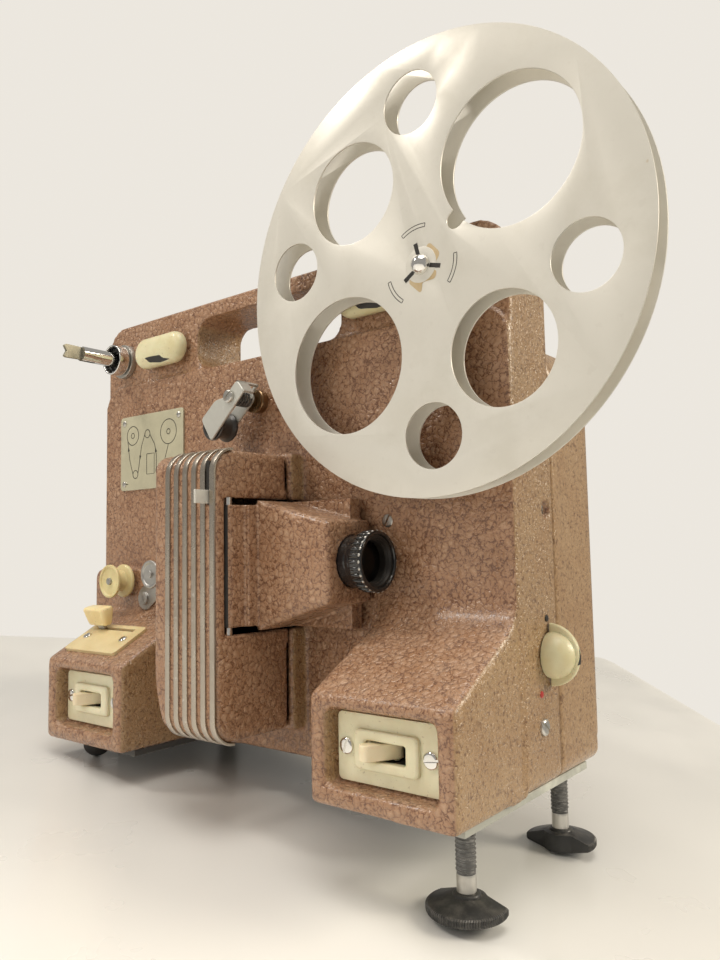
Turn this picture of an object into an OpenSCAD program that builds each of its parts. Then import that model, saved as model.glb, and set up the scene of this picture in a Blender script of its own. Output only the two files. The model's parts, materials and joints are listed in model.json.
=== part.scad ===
// Table-top 8 mm film projector: cast body, hinged lens gate, lamp house, reel and feet.
// Pieces are drawn upright, X along the lens axis, Y to the rear, Z up, with Y = 0 on the front panel.
// stand() then tips the whole projector nose-up onto its feet.

/* [Body] */
// Length of the casting along the lens axis
body_l = 258; // [250:1:275]
// Height of the casting to the top of the handle
body_h = 219; // [216:1:230]
// Depth of the front casting
casting_d = 33; // [33:1:38]
// Depth of the rear cover
cover_d = 46; // [46:1:60]
// Height of the rear cover
cover_h = 176; // [172:1:180]
// Wall thickness of the castings
wall = 4; // [3:0.5:4.5]
// Height of the raised front panel
panel_top = 184; // [182:1:188]
// How far the top band is set back from the panel
panel_step = 2; // [1:0.5:3]
// Radius of the top corners of the casting
corner_r = 15; // [10:1:18]
// Radius of the top corners of the raised panel
panel_r = 14; // [8:1:18]
// Radius of the bottom corners
base_r = 5; // [3:1:6]
// Radius of the top corners of the rear cover
cover_r = 18; // [12:1:24]
// Radius of the upright rear edges of the cover
cover_edge_r = 12; // [6:1:16]

/* [Handle] */
// Left end of the hand opening
grip_x0 = -51; // [-54:1:-46]
// Width of the hand opening
grip_l = 97; // [90:1:99]
// Height of the hand opening
grip_h = 27; // [24:1:28]
// Corner radius of the hand opening
grip_r = 9; // [5:1:11]

/* [Switch boxes] */
// Width of each switch box
box_w = 62; // [60:1:64]
// How far the boxes stand in front of the panel
box_d = 46; // [44:1:50]
// Height of a box at its front
box_h = 39; // [38:1:42]
// Slope of the box roof in degrees
box_slope = 28.6; // [26:0.2:29.4]
// Distance of the left box from the left end
left_box_inset = 19.5; // [16:0.5:22]
// Depth of the recess that holds a switch plate
recess_d = 9; // [8:0.5:10]
// Thickness of the seat behind a switch plate
seat_t = 2; // [1.5:0.5:2.5]
// Radius where the right box's roof runs into the panel
roof_fillet = 16; // [8:1:18]
// Width of a switch plate
plate_w = 44; // [42:1:46]
// Height of a switch plate
plate_h = 24; // [23:1:26]
// Thickness of a switch plate
plate_t = 2.5; // [2:0.5:3]
// Gap round a switch plate
plate_gap = 1.5; // [0.5:0.5:2]
// Height of the middle of the switches
switch_z = 21; // [20:1:22]
// Distance of each plate screw from the middle
plate_screw_x = 18; // [17:0.5:18.5]
// Depth of the ledge under the film rollers
ledge_d = 6; // [5:0.5:7]
// Height of the ledge
ledge_top = 82; // [80:1:86]
// Corner radius of the ledge
ledge_r = 6; // [4:1:10]

/* [Switch toggles] */
// Width of the switch body
switch_w = 30; // [28:1:32]
// Height of the switch body
switch_h = 20; // [19:1:21]
// Depth of the switch body
switch_d = 12; // [11:0.5:12.5]
// Width of the slot that the toggle swings in
toggle_slot_w = 15; // [14.5:0.5:17]
// Height of the toggle
toggle_h = 7; // [6:0.5:7.5]
// Thickness of the toggle
toggle_t = 5; // [4:0.5:5]
// Length of the toggle from its pivot
toggle_l = 14; // [12:0.5:16]
// Lean of the toggle each side of the middle in degrees
toggle_lean = 32; // [25:1:33]
// Radius of the toggle's trunnion
trunnion_r = 1.2; // [1:0.1:1.4]

/* [Speed control] */
// Width of the sloping plate
speed_w = 42; // [40:1:46]
// Length of the sloping plate up the slope
speed_l = 22; // [21:1:23]
// Thickness of the sloping plate
speed_t = 1.5; // [1:0.5:2]
// Sloping plate's middle from the box's left side
speed_in = 27; // [26:0.5:29]
// Depth of the middle of the sloping plate
speed_y = -30; // [-31:0.5:-29]
// Lever slot above the middle of the plate
speed_slot_up = 7.5; // [7:0.5:8]
// Its screws from the middle of the plate
speed_screw_x = 15; // [13:0.5:17]
// Travel of the speed lever
lever_travel = 24; // [20:1:25]
// Width of the lever strip
lever_w = 5; // [4:0.5:6]
// Thickness of the lever strip
lever_t = 1.2; // [1:0.1:1.4]
// Depth of the slider rail under the roof
rail_drop = 14; // [13.5:0.5:15]
// Radius of the slider rail
rail_r = 2; // [1.5:0.1:2.2]
// Size of the slider on the rail
slider_w = 8; // [7:0.5:8.5]
// Width of the lever knob
lever_knob_w = 17; // [15:1:19]
// Height of the lever knob
lever_knob_h = 10; // [8:1:12]
// Thickness of the lever knob
lever_knob_t = 8; // [7:0.5:9]
// Height of the lever knob above the plate
lever_knob_up = 4; // [3:0.5:6]

/* [Diagram plate] */
// Width of the plate
diagram_w = 54; // [50:1:56]
// Height of the plate
diagram_h = 41; // [38:1:44]
// Thickness of the plate
diagram_t = 1; // [0.8:0.1:1.5]
// Middle of the plate from the left end of the casting
diagram_in = 43; // [40:1:46]
// Height of the middle of the plate
diagram_z = 145.5; // [140:0.5:150]
// Corner pins from the plate's edges
pin_in = 3.5; // [3:0.5:5]
// Radius of a corner pin's head
pin_head_r = 1.6; // [1.2:0.1:2]
// Height of a corner pin's head
pin_head_h = 0.8; // [0.5:0.1:1.2]
// Corner radius of the plates
plate_r = 2; // [1:0.5:4]

/* [Reel and spindles] */
// Outer radius of the reel
reel_r = 89; // [85:0.5:90]
// Overall thickness of the reel
reel_t = 10; // [9.8:0.1:10.4]
// Thickness of a reel flange
flange_t = 0.8; // [0.6:0.1:1]
// Radius of the reel core
core_r = 15.5; // [14:0.5:17]
// Distance of the reel axis from the right end
reel_inset = 26.5; // [24:0.5:28]
// Distance of the take-up axis from the left end
takeup_inset = 16.5; // [16:0.5:19]
// Height of both spindles
spindle_z = 198.5; // [197.5:0.5:199.5]
// Gap between the reel and the front panel
reel_gap = 8; // [8:0.5:10]
// Radius of a spindle
spindle_r = 4; // [3.5:0.1:4.2]
// Radius of a spindle behind its collar
journal_r = 3.5; // [3:0.1:3.8]
// How far the front spindle stands out of the reel
spindle_out = 4; // [3:0.5:6]
// Length of the take-up spindle in front of its collar
takeup_out = 19; // [17:0.5:22]
// Radius of the collar that a reel seats on
collar_r = 8; // [7:0.5:9]
// Outer radius of a spindle bush
bush_r = 7; // [6:0.5:8]
// Radius of a bush flange
bush_flange_r = 9.5; // [9:0.5:11]
// Thickness of a bush flange
bush_flange_t = 3; // [2:0.5:4]
// Distance of the large reel holes from the axis
big_hole_at = 50.3; // [49:0.1:52]
// Radius of the two largest reel holes
big_hole_r = 28; // [26:0.5:29]
// Radius of the two middle reel holes
mid_hole_r = 21; // [20:0.5:22]
// Distance of the small reel holes from the axis
small_hole_at = 66.1; // [65:0.1:68]
// Radius of the small reel holes
small_hole_r = 12.5; // [11:0.5:13]
// Turn of the first large hole in degrees
reel_turn = 41.2; // [35:0.2:48]
// Angle from a middle hole to the small holes beside it
small_hole_step = 38.2; // [37:0.2:40]
// Width of the film slot that leads to the core
film_slot_w = 7; // [5:0.5:9]
// End of the film slot from the axis
film_slot_in = 17; // [16.5:0.5:19]
// Thickness of the folding tip
tip_t = 1.8; // [1.5:0.1:2.2]
// Width of the folding tip
tip_w = 6.5; // [5:0.5:7]
// Length of the folding tip from its pin
tip_l = 14; // [12:0.5:16]
// Depth of the tip's slot in the spindle end
tip_slot = 8; // [7.5:0.5:9]
// Radius of the tip's pin
tip_pin_r = 1; // [0.8:0.1:1.2]

/* [Knobs] */
// Length of an oval knob
oval_l = 37; // [34:1:38]
// Width of an oval knob
oval_w = 17; // [15:1:18]
// Height of an oval knob
oval_h = 6.2; // [5:0.1:6.4]
// Left oval knob from the left end of the casting
left_oval_in = 53; // [52:1:56]
// Right oval knob from the right end of the casting
right_oval_in = 61; // [58:1:62]
// Height of the oval knobs
oval_z = 198.5; // [197:0.5:200]
// Height of an oval knob's crown
oval_crown = 2.4; // [1.5:0.1:3]
// How far the crown of an oval knob is drawn in
oval_bevel = 2; // [1:0.1:3]
// Radius of the side knob's round body
side_body_r = 9; // [8:0.5:10]
// Thickness of the side knob's fin
side_fin_t = 2.6; // [2:0.1:4]
// Radius of an index dot
dot_r = 1.3; // [1:0.1:1.6]
// Thickness of an index dot
dot_t = 0.6; // [0.4:0.1:0.8]
// Index dots from the side knob's rim
dot_gap = 2; // [2:0.1:3]
// Sideways offset of the index dots from their middle
dot_y = 3.2; // [2:0.1:4]
// Index dots in front of the knob's axis
dot_front = 5; // [4:0.1:6]
// Radius of the collar that keeps a knob shaft in
shaft_collar_r = 6; // [5:0.5:7]
// Thickness of that collar
shaft_collar_t = 3; // [2:0.5:4]
// Radius of a knob shaft
knob_shaft_r = 3; // [2.5:0.1:3.5]
// Length of a knob shaft behind the wall
knob_shaft_in = 10; // [8:1:12]
// Radius of the side knob's fin
side_knob_r = 12; // [11:0.5:12.5]
// Height of the side knob's round body
side_knob_h = 11; // [10:0.5:11]
// Depth of the side knob's axis behind the panel
side_knob_y = 25; // [24:0.5:26]
// Height of the side knob's axis
side_knob_z = 49; // [45:1:52]

/* [Lamp house] */
// Middle of the lamp house from the middle of the body
lamp_x = 2.5; // [1:0.5:4]
// Width of the lamp house
lamp_w = 41; // [41:1:43]
// Depth of the lamp house in front of the panel
lamp_d = 51; // [50:0.5:54]
// Bottom of the lamp house
lamp_z0 = 14; // [12:0.5:15]
// Top of the lamp house
lamp_z1 = 133; // [132:0.5:136]
// Wall of the lamp house
lamp_wall = 2.5; // [2:0.1:2.6]
// Radius of the top and bottom front edges
lamp_top_r = 10; // [8:0.5:12]
// Radius of the left front edge
lamp_left_r = 4; // [3:0.5:6]
// Depth of the casting's rim that carries the lamp house
rim_d = 9; // [8:0.5:10]
// How far that rim stands out all round
rim_lip = 1.5; // [1:0.5:2]
// Number of trim strips on the front
strip_count = 6; // [4:1:6]
// Spacing of the trim strips
strip_pitch = 5.6; // [5.5:0.1:6]
// Width of a trim strip
strip_w = 2.9; // [2:0.1:3.2]
// Thickness of a trim strip
strip_t = 0.8; // [0.5:0.1:1.2]
// Distance of the last strip from the right edge
strip_in = 1.7; // [1.6:0.1:2]
// Bottom of the framing slot
slot_z0 = 110; // [108:0.5:112]
// Height of the framing slot
slot_h = 18; // [15:0.5:18.5]
// Width of the framing slot
slot_w = 2; // [1.6:0.1:2.4]
// Height of the framing tab
tab_h = 5.5; // [4:0.5:7]
// Thickness of the framing tab's carriage
carriage_t = 1.6; // [1.2:0.1:1.6]
// How far the carriage runs past each side of its slot
carriage_lip = 1; // [0.5:0.1:1]
// How far the carriage hangs below its tab
carriage_drop = 3; // [3:0.1:4]
// How far the framing tab stands out
tab_out = 7; // [5:0.5:9]

/* [Lens gate] */
// Bottom of the gate opening in the lamp house
gate_z0 = 57; // [56.5:0.5:58]
// Top of the gate opening in the lamp house
gate_z1 = 113; // [112:0.5:114]
// Gap between the gate and its opening
gate_gap = 1; // [0.6:0.1:1.5]
// Height of the lens axis
lens_z = 86; // [85:0.5:87]
// Depth of the lens nose in front of the panel
nose_d = 30; // [29:0.5:31]
// Length of the lens nose past the lamp house
nose_l = 40; // [38:1:44]
// Height of the nose at its front end
nose_h = 33; // [30:1:38]
// Gap between the gate's back and the panel
gate_back = 2; // [1.8:0.1:3]
// Thickness of the gate's back plate
gate_plate_t = 7; // [6:0.5:8]
// Length of the gate's back plate
gate_plate_l = 34; // [30:1:37]
// Radius of the gate's hinge knuckle
knuckle_r = 4; // [3.5:0.1:4.2]
// Radius of a hinge pin
pin_r = 2; // [1.6:0.1:2.2]
// Hinge axis from the front of the lamp house
hinge_in = 9.5; // [9:0.5:11]
// Gap at the ends of the knuckle that shows the pins
knuckle_gap = 3; // [2:0.5:4]
// Radius of the lens barrel
barrel_r = 10.5; // [9.5:0.1:11]
// Radius of the focus ring
focus_r = 12.5; // [12:0.1:12.6]
// Length of the focus ring
focus_l = 9; // [7:0.5:11]
// How far the lens front stands out of the nose
lens_out = 13; // [12.5:0.5:16]
// Focus travel each way
focus_travel = 3; // [2:0.5:3]
// Wall of the lens barrel
barrel_wall = 2; // [1.5:0.1:2.5]
// Thickness of a lens glass
glass_t = 3.5; // [2.5:0.5:4.5]
// Width of the picture aperture
aperture_w = 4.9; // [4.5:0.1:5.5]
// Height of the picture aperture
aperture_h = 3.7; // [3.3:0.1:4]
// Thickness of the aperture plate
aperture_t = 1.5; // [1.2:0.1:1.6]
// Lens nose from the lamp house's side
gate_step = 1.5; // [1:0.1:2]
// Aperture plate behind the front of the nose
film_edge = 3; // [2.5:0.5:4]
// Height of each hinge boss
boss_h = 7; // [6:0.5:8]
// Length of a hinge pin inside the knuckle
pin_l = 8; // [6:0.5:10]
// Start of the lens barrel behind the nose's rear face
barrel_in = 8; // [8:0.5:10]
// Depth of the front glass behind the lens front
glass_in = 4; // [3:0.5:6]
// Length of each foot of the aperture plate
aperture_foot_l = 8; // [6:0.5:9]
// Height of each foot of the aperture plate
aperture_foot_h = 6; // [5:0.5:8]
// Thickness of the hinge leaf where it meets the nose
leaf_t = 5.5; // [4:0.5:6]
// Pressure plate's pins from the ends of the gate
pressure_pin_in = 10; // [9:0.5:12]
// Length of the pressure plate's pins past their pocket
pressure_pin_l = 2; // [1.5:0.5:3]
// Spare room behind the pressure plate
pressure_room = 1.6; // [1:0.1:2]
// Thickness of the pressure plate
pressure_t = 1.5; // [1.2:0.1:1.8]
// Travel of the pressure plate
pressure_travel = 1; // [0.6:0.1:1]

/* [Film guides] */
// Upper guide pivot from the middle of the body
guide_x = -3; // [-5:0.5:0]
// Height of the upper guide pivot
guide_z = 161.5; // [160:0.5:163]
// Radius of the guide post
post_r = 6.5; // [5.5:0.5:7.5]
// Height of the guide post
post_h = 5; // [4:0.5:5.5]
// Thickness of the guide plates
guide_t = 1.2; // [1:0.1:1.4]
// Length of the guide arm from pivot to roller
arm_l = 18; // [17:0.5:20]
// Slope of the guide arm below level in degrees
arm_slope = 41; // [36:1:46]
// Width of the guide arm
arm_w = 17; // [15:0.5:18]
// Radius of the dark guide roller
guide_roller_r = 7; // [6:0.5:7.5]
// Film width plus side play, the length of the rollers
film_way = 10; // [9:0.5:10.5]
// Radius of the pivot pin
pivot_r = 2; // [1.6:0.1:2.2]
// Number of curls of the guide spring
curls = 5; // [4:1:5]
// Pitch of the guide spring
curl_pitch = 1.7; // [1.6:0.05:1.75]
// Wire radius of the guide spring
wire_r = 0.5; // [0.4:0.05:0.55]
// Mean radius of the guide spring
curl_r = 3.6; // [3.3:0.1:4]
// Ivory roller from the left end of the casting
ivory_in = 30.5; // [29:0.5:33]
// Height of the ivory roller
ivory_z = 76; // [72:0.5:77]
// Flange radius of the ivory roller
ivory_r = 8.7; // [8:0.1:9]
// Core radius of the ivory roller
ivory_core_r = 5.2; // [4.5:0.1:6]
// Thickness of the ivory roller's flanges
ivory_flange_t = 1.5; // [1.2:0.1:2]
// Width of the lower guide plate
lower_w = 12; // [10:0.5:14]
// Radius of a roller pin
roller_pin_r = 1.8; // [1.5:0.1:2]
// Lower guide screw from the left end of the casting
lower_in = 47; // [45:0.5:49]
// Height of the lower guide screw
lower_z = 67; // [65:0.5:69]
// Length of the lower guide from screw to roller
lower_l = 22; // [20:0.5:24]
// Slope of the lower guide above level in degrees
lower_slope = 36; // [32:1:40]

/* [Feet] */
// Levelling feet from the right end
foot_inset = 14; // [13:0.5:16]
// Front levelling foot behind its switch body
foot_behind = 7; // [7:0.5:9]
// Depth of the rear levelling foot
foot_rear_y = 59; // [57:0.5:60]
// Length of a levelling foot below the casting
foot_drop = 37; // [33:0.5:40]
// Radius of a foot's stem
stem_r = 3.7; // [3.4:0.1:4]
// Height of a foot's head at its hub
foot_head_h = 9; // [8:0.5:11]
// Radius of a foot's hub
foot_hub_r = 7; // [6:0.5:8]
// Radius of a foot's half-round head
foot_head_r = 14.5; // [13:0.5:16]
// Height of the head at its rim
foot_edge = 5.5; // [5:0.5:7]
// Distance of the head's flat from the axis
foot_flat = 4; // [3:0.5:5]
// Radius of the domed underside
dome_r = 40; // [36:1:60]
// Radius of a foot bush
foot_bush_r = 7; // [6.5:0.5:7.5]
// Height of a foot bush above the casting's bottom
foot_bush_h = 12; // [10:0.5:12.5]
// Height of the stop ring above the casting's bottom
stop_z = 19; // [18.5:0.5:20]
// Thickness of the stop ring
stop_t = 2; // [1.5:0.5:2.5]
// Radius of the stop ring
stop_r = 6; // [5.5:0.5:7]
// Radius of a rubber foot
rubber_r = 7; // [6:0.5:8]
// Distance of the rubber feet from the left end
rubber_inset = 37; // [34:0.5:40]
// Depth of the front rubber foot
rubber_front_y = -28; // [-30:0.5:-26]
// Depth of the rear rubber foot
rubber_rear_y = 62; // [60:0.5:64]
// Thickness of the base plate
base_t = 3; // [2:0.5:3]
// How far the base plate is set in from the sides
base_in = 3; // [2:0.5:4]
// Base plate behind the front faces
base_front_in = 10; // [8:0.5:11]

/* [Drive] */
// Motor axis from the left end of the casting
motor_in = 67; // [65:1:69]
// Height of the motor axis
motor_z = 52; // [50:1:54]
// Radius of the motor
motor_r = 27; // [25:0.5:28]
// Length of the motor
motor_l = 34; // [32:0.5:34]
// Radius of the motor shaft
motor_shaft_r = 3; // [2.5:0.1:3.2]
// Radius of the fan
fan_r = 22; // [20:0.5:24]
// Width of the fan
fan_w = 8; // [7:0.5:8]
// Thickness of the fan's blades and back
blade_t = 1.2; // [0.8:0.1:1.5]
// Gap between the fan and the motor
fan_gap = 2; // [1.5:0.1:2]
// Width of the motor's cradle
cradle_w = 35; // [30:1:40]
// Number of fan blades
blade_count = 9; // [6:1:9]
// Groove radius of the motor pulleys
motor_groove_r = 7.5; // [6.5:0.1:8]
// Groove radius of the take-up pulley
takeup_groove_r = 9; // [8:0.1:9.2]
// Groove radius of the main shaft pulley
main_groove_r = 14; // [12:0.1:14]
// Depth of a pulley groove
groove_d = 2; // [1.5:0.1:2]
// Width of a pulley
pulley_w = 6; // [5.5:0.1:6]
// Depth of the take-up belt behind the panel
belt_a_y = 13; // [12.5:0.5:13.5]
// Depth of the main belt behind the panel
belt_b_y = 26.2; // [26:0.1:26.4]
// Thickness of a pulley's rims
pulley_rim_t = 1.2; // [0.8:0.1:1.2]
// Width of a belt
belt_w = 2.4; // [2:0.1:2.5]
// Thickness of a belt
belt_t = 1.2; // [1:0.1:1.4]
// Main shaft from the lamp house's middle
main_in = 22.5; // [21.5:0.5:23]
// Height of the main shaft above the lens axis
main_up = 24; // [24:0.1:25]
// Radius of the main shaft
main_r = 3; // [2.5:0.1:3.2]
// Radius of the wheel on the main shaft
wheel_r = 13.6; // [13:0.1:13.6]
// Radius of the pinion on the shutter shaft
pinion_r = 9.6; // [9:0.1:9.6]
// Depth of the shutter shaft behind the panel
shutter_y = 15; // [15:0.1:15.4]
// Radius of the shutter shaft
shutter_shaft_r = 2.5; // [2:0.1:2.8]
// Radius of the shutter
shutter_r = 37; // [36.5:0.1:37.5]
// Thickness of the shutter
shutter_t = 1.2; // [1:0.1:1.4]
// Shutter plane from the lamp house's middle
shutter_in = 14; // [13.5:0.1:14.2]
// Radius inside the shutter's openings
shutter_hub_r = 17; // [15:0.5:20]
// Half width of the slot that the shutter runs in
shutter_gap = 3; // [2.5:0.1:3]
// Width of the pinion
pinion_w = 10; // [9:0.5:10]
// Width of each shutter bearing
bearing_w = 5; // [4:0.5:6]
// Gap between the pinion and the outer bearing
bearing_gap = 4; // [3:0.5:5]
// Distance of the inner bearing from the shutter
bearing_in = 11.5; // [11:0.5:13]
// Half height of a bearing
bearing_h = 6.5; // [6:0.1:7]
// Half width of the wheel on the main shaft
wheel_w = 4; // [3:0.5:4]
// Thickness of the mechanism frame
frame_t = 2.5; // [2:0.5:3]
// Gap between the frame and the main pulley
frame_gap = 2; // [1.5:0.1:2]
// How far the frame runs past the outer bearing
frame_side = 14; // [10:1:15]
// How far the frame runs below the lens axis
frame_down = 12; // [10:1:14]
// How far the frame runs above the main shaft
frame_up = 32; // [30:1:36]
// Radius of a frame post
frame_post_r = 4; // [3:0.5:5]
// Frame posts from the frame's edges
frame_post_in = 5; // [5:0.5:7]
// Angle of each shutter opening in degrees
shutter_open = 70; // [60:1:80]

/* [Lamp and supply] */
// Radius of the lamp bulb
bulb_r = 10; // [9:0.5:10.5]
// Radius of the lamp base
lamp_base_r = 8; // [7:0.5:8.5]
// Lamp axis from the middle of the lamp house
lamp_in = 4.5; // [4:0.1:5]
// Height of the lamp bulb
bulb_h = 28; // [24:1:32]
// Top of the lamp socket below the lens axis
socket_drop = 40; // [36:1:44]
// Height of the lamp socket
socket_h = 8; // [6:0.5:10]
// Half width of the lamp socket
socket_w = 12; // [10:0.5:12.5]
// Thickness of the condenser holder
condenser_t = 4; // [3.5:0.1:4]
// Gap between the bulb and the condenser
condenser_gap = 1.5; // [1:0.1:1.5]
// Rim of the condenser holder round its glass
condenser_rim = 3; // [2:0.5:3.5]
// Condenser radius
condenser_r = 7.5; // [7:0.1:8]
// Width of the transformer
transformer_w = 58; // [52:1:60]
// Height of the transformer
transformer_h = 48; // [44:1:52]
// Gap between the transformer and the rear foot's bush
transformer_side = 3; // [2:0.5:5]
// Gap between the transformer and the front casting
transformer_gap = 8; // [6:0.5:10]
// Bottom of the mains inlet
inlet_z = 72; // [68:1:80]
// Depth of the mains inlet inside the cover
inlet_d = 12; // [10:0.5:14]
// Top louvre below the cover's inner roof
louvre_drop = 12; // [10:1:16]
// Width of the mains inlet
inlet_w = 28; // [26:1:30]
// Height of the mains inlet
inlet_h = 20; // [18:1:22]
// Reach of the mains inlet out of the rear cover
inlet_out = 1; // [0.5:0.5:2]
// Number of louvres in the rear cover
louvre_count = 7; // [5:1:7]
// Length of a louvre
louvre_l = 70; // [60:1:80]
// Height of a louvre
louvre_h = 4; // [3:0.5:5]
// Spacing of the louvres
louvre_pitch = 9; // [8:0.5:9.5]

/* [Fits] */
// Radial clearance of a running fit
fit = 0.05; // [0.02:0.01:0.08]
// Clearance between moving faces
clear = 0.4; // [0.3:0.05:0.5]

/* [Screws] */
// Head radius of a casing screw
head_r = 3.2; // [3:0.1:3.6]
// Width of a screw's driver slot
driver_slot = 0.9; // [0.6:0.1:1.2]
// Depth and height of the upper side screw
side_screw_high = [26, 105]; // [0:0.1:180]
// Depth and height of the lower side screw
side_screw_low = [18, 22.7]; // [0:0.1:180]
// Panel screw from the middle, and its height
panel_screw = [70.8, 102.3]; // [0:0.1:180]
// Head height of a screw
head_h = 1.4; // [1:0.1:1.8]
// Shank radius of a screw
shank_r = 1.5; // [1.2:0.1:1.8]
// Head radius of a small plate screw
small_head_r = 2; // [1.8:0.1:2.4]

/* [Hidden] */
$fn = 64;
hull_fn = 32;
lap = 1;
half_l = body_l / 2;
body_d = casting_d + cover_d;
grip_x1 = grip_x0 + grip_l;
grip_z1 = panel_top + grip_h;
cavity_top = cover_h - wall;
pocket_top = body_h - wall;
pocket_z0 = cavity_top - 2 * cover_r;
louvre_z1 = cavity_top - louvre_drop;
pocket_y0 = panel_step + wall;
pocket_y1 = casting_d - wall;
left_box_x = -half_l + left_box_inset;
right_box_x = half_l - box_w;
left_switch_x = left_box_x + box_w / 2;
right_switch_x = right_box_x + box_w / 2;
switch_xs = [left_switch_x, right_switch_x];
box_front_t = recess_d + seat_t;
seat_y = -box_d + recess_d;
plate_front_y = seat_y - plate_t;
toggle_y = seat_y + toggle_t / 2 + clear;
speed_x = left_box_x + speed_in;
speed_slot_l = lever_travel + lever_w + 2 * clear;
diagram_x = -half_l + diagram_in;
reel_x = half_l - reel_inset;
takeup_x = -half_l + takeup_inset;
reel_y0 = -reel_gap - reel_t;
film_y = -reel_gap - reel_t / 2;
tip_pin_y = -reel_gap - takeup_out + tip_slot / 2;
oval_xs = [-half_l + left_oval_in, half_l - right_oval_in];
boss_r = takeup_groove_r + groove_d + clear + wall;
band_shafts = [[takeup_x, spindle_z], [oval_xs[0], oval_z], [oval_xs[1], oval_z], [reel_x, spindle_z]];
lamp_l = lamp_x - lamp_w / 2;
lamp_r = lamp_x + lamp_w / 2;
strip_x1 = lamp_r - strip_in;
slot_x = strip_x1 - strip_pitch / 2;
tab_travel = slot_h - tab_h - 2 * clear;
hinge_x = lamp_r - knuckle_r + clear;
hinge_y = -lamp_d + hinge_in;
gate_x = lamp_r + gate_step;
nose_x1 = lamp_r + nose_l;
lens_y = film_y;
bore_r = barrel_r + fit;
barrel_x0 = gate_x + barrel_in;
lens_x1 = nose_x1 + lens_out;
focus_x0 = lens_x1 - focus_l;
aperture_x1 = lamp_r;
aperture_y0 = -nose_d + film_edge;
pressure_x0 = aperture_x1 + clear;
pressure_x1 = pressure_x0 + pressure_t;
pressure_pocket = pressure_x1 + pressure_travel + pressure_room;
pressure_pins = [gate_z0 + pressure_pin_in, gate_z1 - pressure_pin_in];
pressure_bore_l = pressure_pin_l + pressure_travel + clear;
guide_front_y = film_y - film_way / 2 - clear - guide_t;
guide_rear_y = film_y + film_way / 2 + clear;
ivory_x = -half_l + ivory_in;
lower_x = -half_l + lower_in;
foot_x = half_l - foot_inset;
foot_front_y = seat_y + switch_d + foot_behind;
foot_ys = [foot_front_y, foot_rear_y];
transformer_x1 = foot_x - foot_bush_r - transformer_side;
rubber_x = -half_l + rubber_inset;
rubber_ys = [rubber_front_y, rubber_rear_y];
motor_x = -half_l + motor_in;
motor_y1 = body_d - wall;
motor_y0 = motor_y1 - motor_l;
main_x = lamp_x - main_in;
main_z = lens_z + main_up;
shutter_x = lamp_x + shutter_in;
frame_y0 = belt_b_y + pulley_w / 2 + frame_gap;
bearing_x0 = main_x - pinion_w / 2 - bearing_gap - bearing_w;
bearing_x1 = shutter_x - bearing_in;
side_screws = [side_screw_high, side_screw_low];
foot_z = -foot_drop + dome_r;
tilt = asin((dome_r - rubber_r) / norm([foot_x - rubber_x, foot_z + base_t]))
  - atan2(foot_z + base_t, foot_x - rubber_x);
lift = rubber_r - rubber_x * sin(tilt) + base_t * cos(tilt);
reach_right = reel_x * cos(tilt) - spindle_z * sin(tilt) + reel_r;
reach_left = (-half_l + corner_r) * cos(tilt) - (body_h - corner_r) * sin(tilt) - corner_r;
reach_front = -lamp_d - tab_out;
reach_rear = body_d + inlet_out;

ivory = [0.93, 0.86, 0.62];
cream = [0.93, 0.90, 0.80];
hammer = [0.66, 0.47, 0.38];
steel = [0.72, 0.72, 0.72];
zinc = [0.6, 0.6, 0.58];
alu = [0.86, 0.86, 0.83];
black = [0.08, 0.08, 0.08];
glass = [0.75, 0.85, 0.9];
brass = [0.8, 0.65, 0.35];

// Roof height of a switch box at a depth
function slope_z(y) = box_h + (y + box_d) * tan(box_slope);
// Inner roof height at a depth
function roof_in(y) = slope_z(y) - wall / cos(box_slope);

// The projector tipped onto its feet, over the origin
module stand() {
  translate([-(reach_left + reach_right) / 2, -(reach_front + reach_rear) / 2, lift])
    rotate([0, -tilt, 0])
      children();
}

module along_y(y0, y1) {
  translate([0, y1, 0])
    rotate([90, 0, 0])
      linear_extrude(y1 - y0)
        children();
}

module along_x(x0, x1) {
  translate([x0, 0, 0])
    rotate([90, 0, 90])
      linear_extrude(x1 - x0)
        children();
}

module rod_x(x0, x1, y, z, r) {
  translate([x0, y, z])
    rotate([0, 90, 0])
      cylinder(h = x1 - x0, r = r);
}

module rod_y(x, z, y0, y1, r) {
  translate([x, y1, z])
    rotate([90, 0, 0])
      cylinder(h = y1 - y0, r = r);
}

module rod_z(x, y, z0, z1, r) {
  translate([x, y, z0])
    cylinder(h = z1 - z0, r = r);
}

module block(x, y, z) {
  translate([x[0], y[0], z[0]])
    cube([x[1] - x[0], y[1] - y[0], z[1] - z[0]]);
}

// Rectangle with a radius for its upper corners and one for its lower
module round_rect(x, y, upper, lower) {
  translate([x[0], y[0] + lower])
    square([x[1] - x[0], y[1] - y[0] - upper - lower]);
  translate([x[0] + upper, y[0] + lower])
    square([x[1] - x[0] - 2 * upper, y[1] - y[0] - lower]);
  translate([x[0] + lower, y[0]])
    square([x[1] - x[0] - 2 * lower, y[1] - y[0] - upper]);
  for (corner = [x[0] + upper, x[1] - upper])
    translate([corner, y[1] - upper])
      circle(upper);
  for (corner = [x[0] + lower, x[1] - lower])
    translate([corner, y[0] + lower])
      circle(lower);
}

// Straight bar with round ends between two points
module slot_shape(l, w) {
  square([l - w, w], center = true);
  for (side = [-1, 1])
    translate([side * (l - w) / 2, 0])
      circle(w / 2);
}

// A frame on the roof of the left box, Y up the slope, Z out
module on_slope() {
  translate([speed_x, speed_y, slope_z(speed_y)])
    rotate([box_slope, 0, 0])
      children();
}

module box_shape(x) {
  along_x(x, x + box_w)
    polygon([[-box_d, 0], [-box_d, box_h], [0, slope_z(0)], [wall, slope_z(0)], [wall, 0]]);
}

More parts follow.
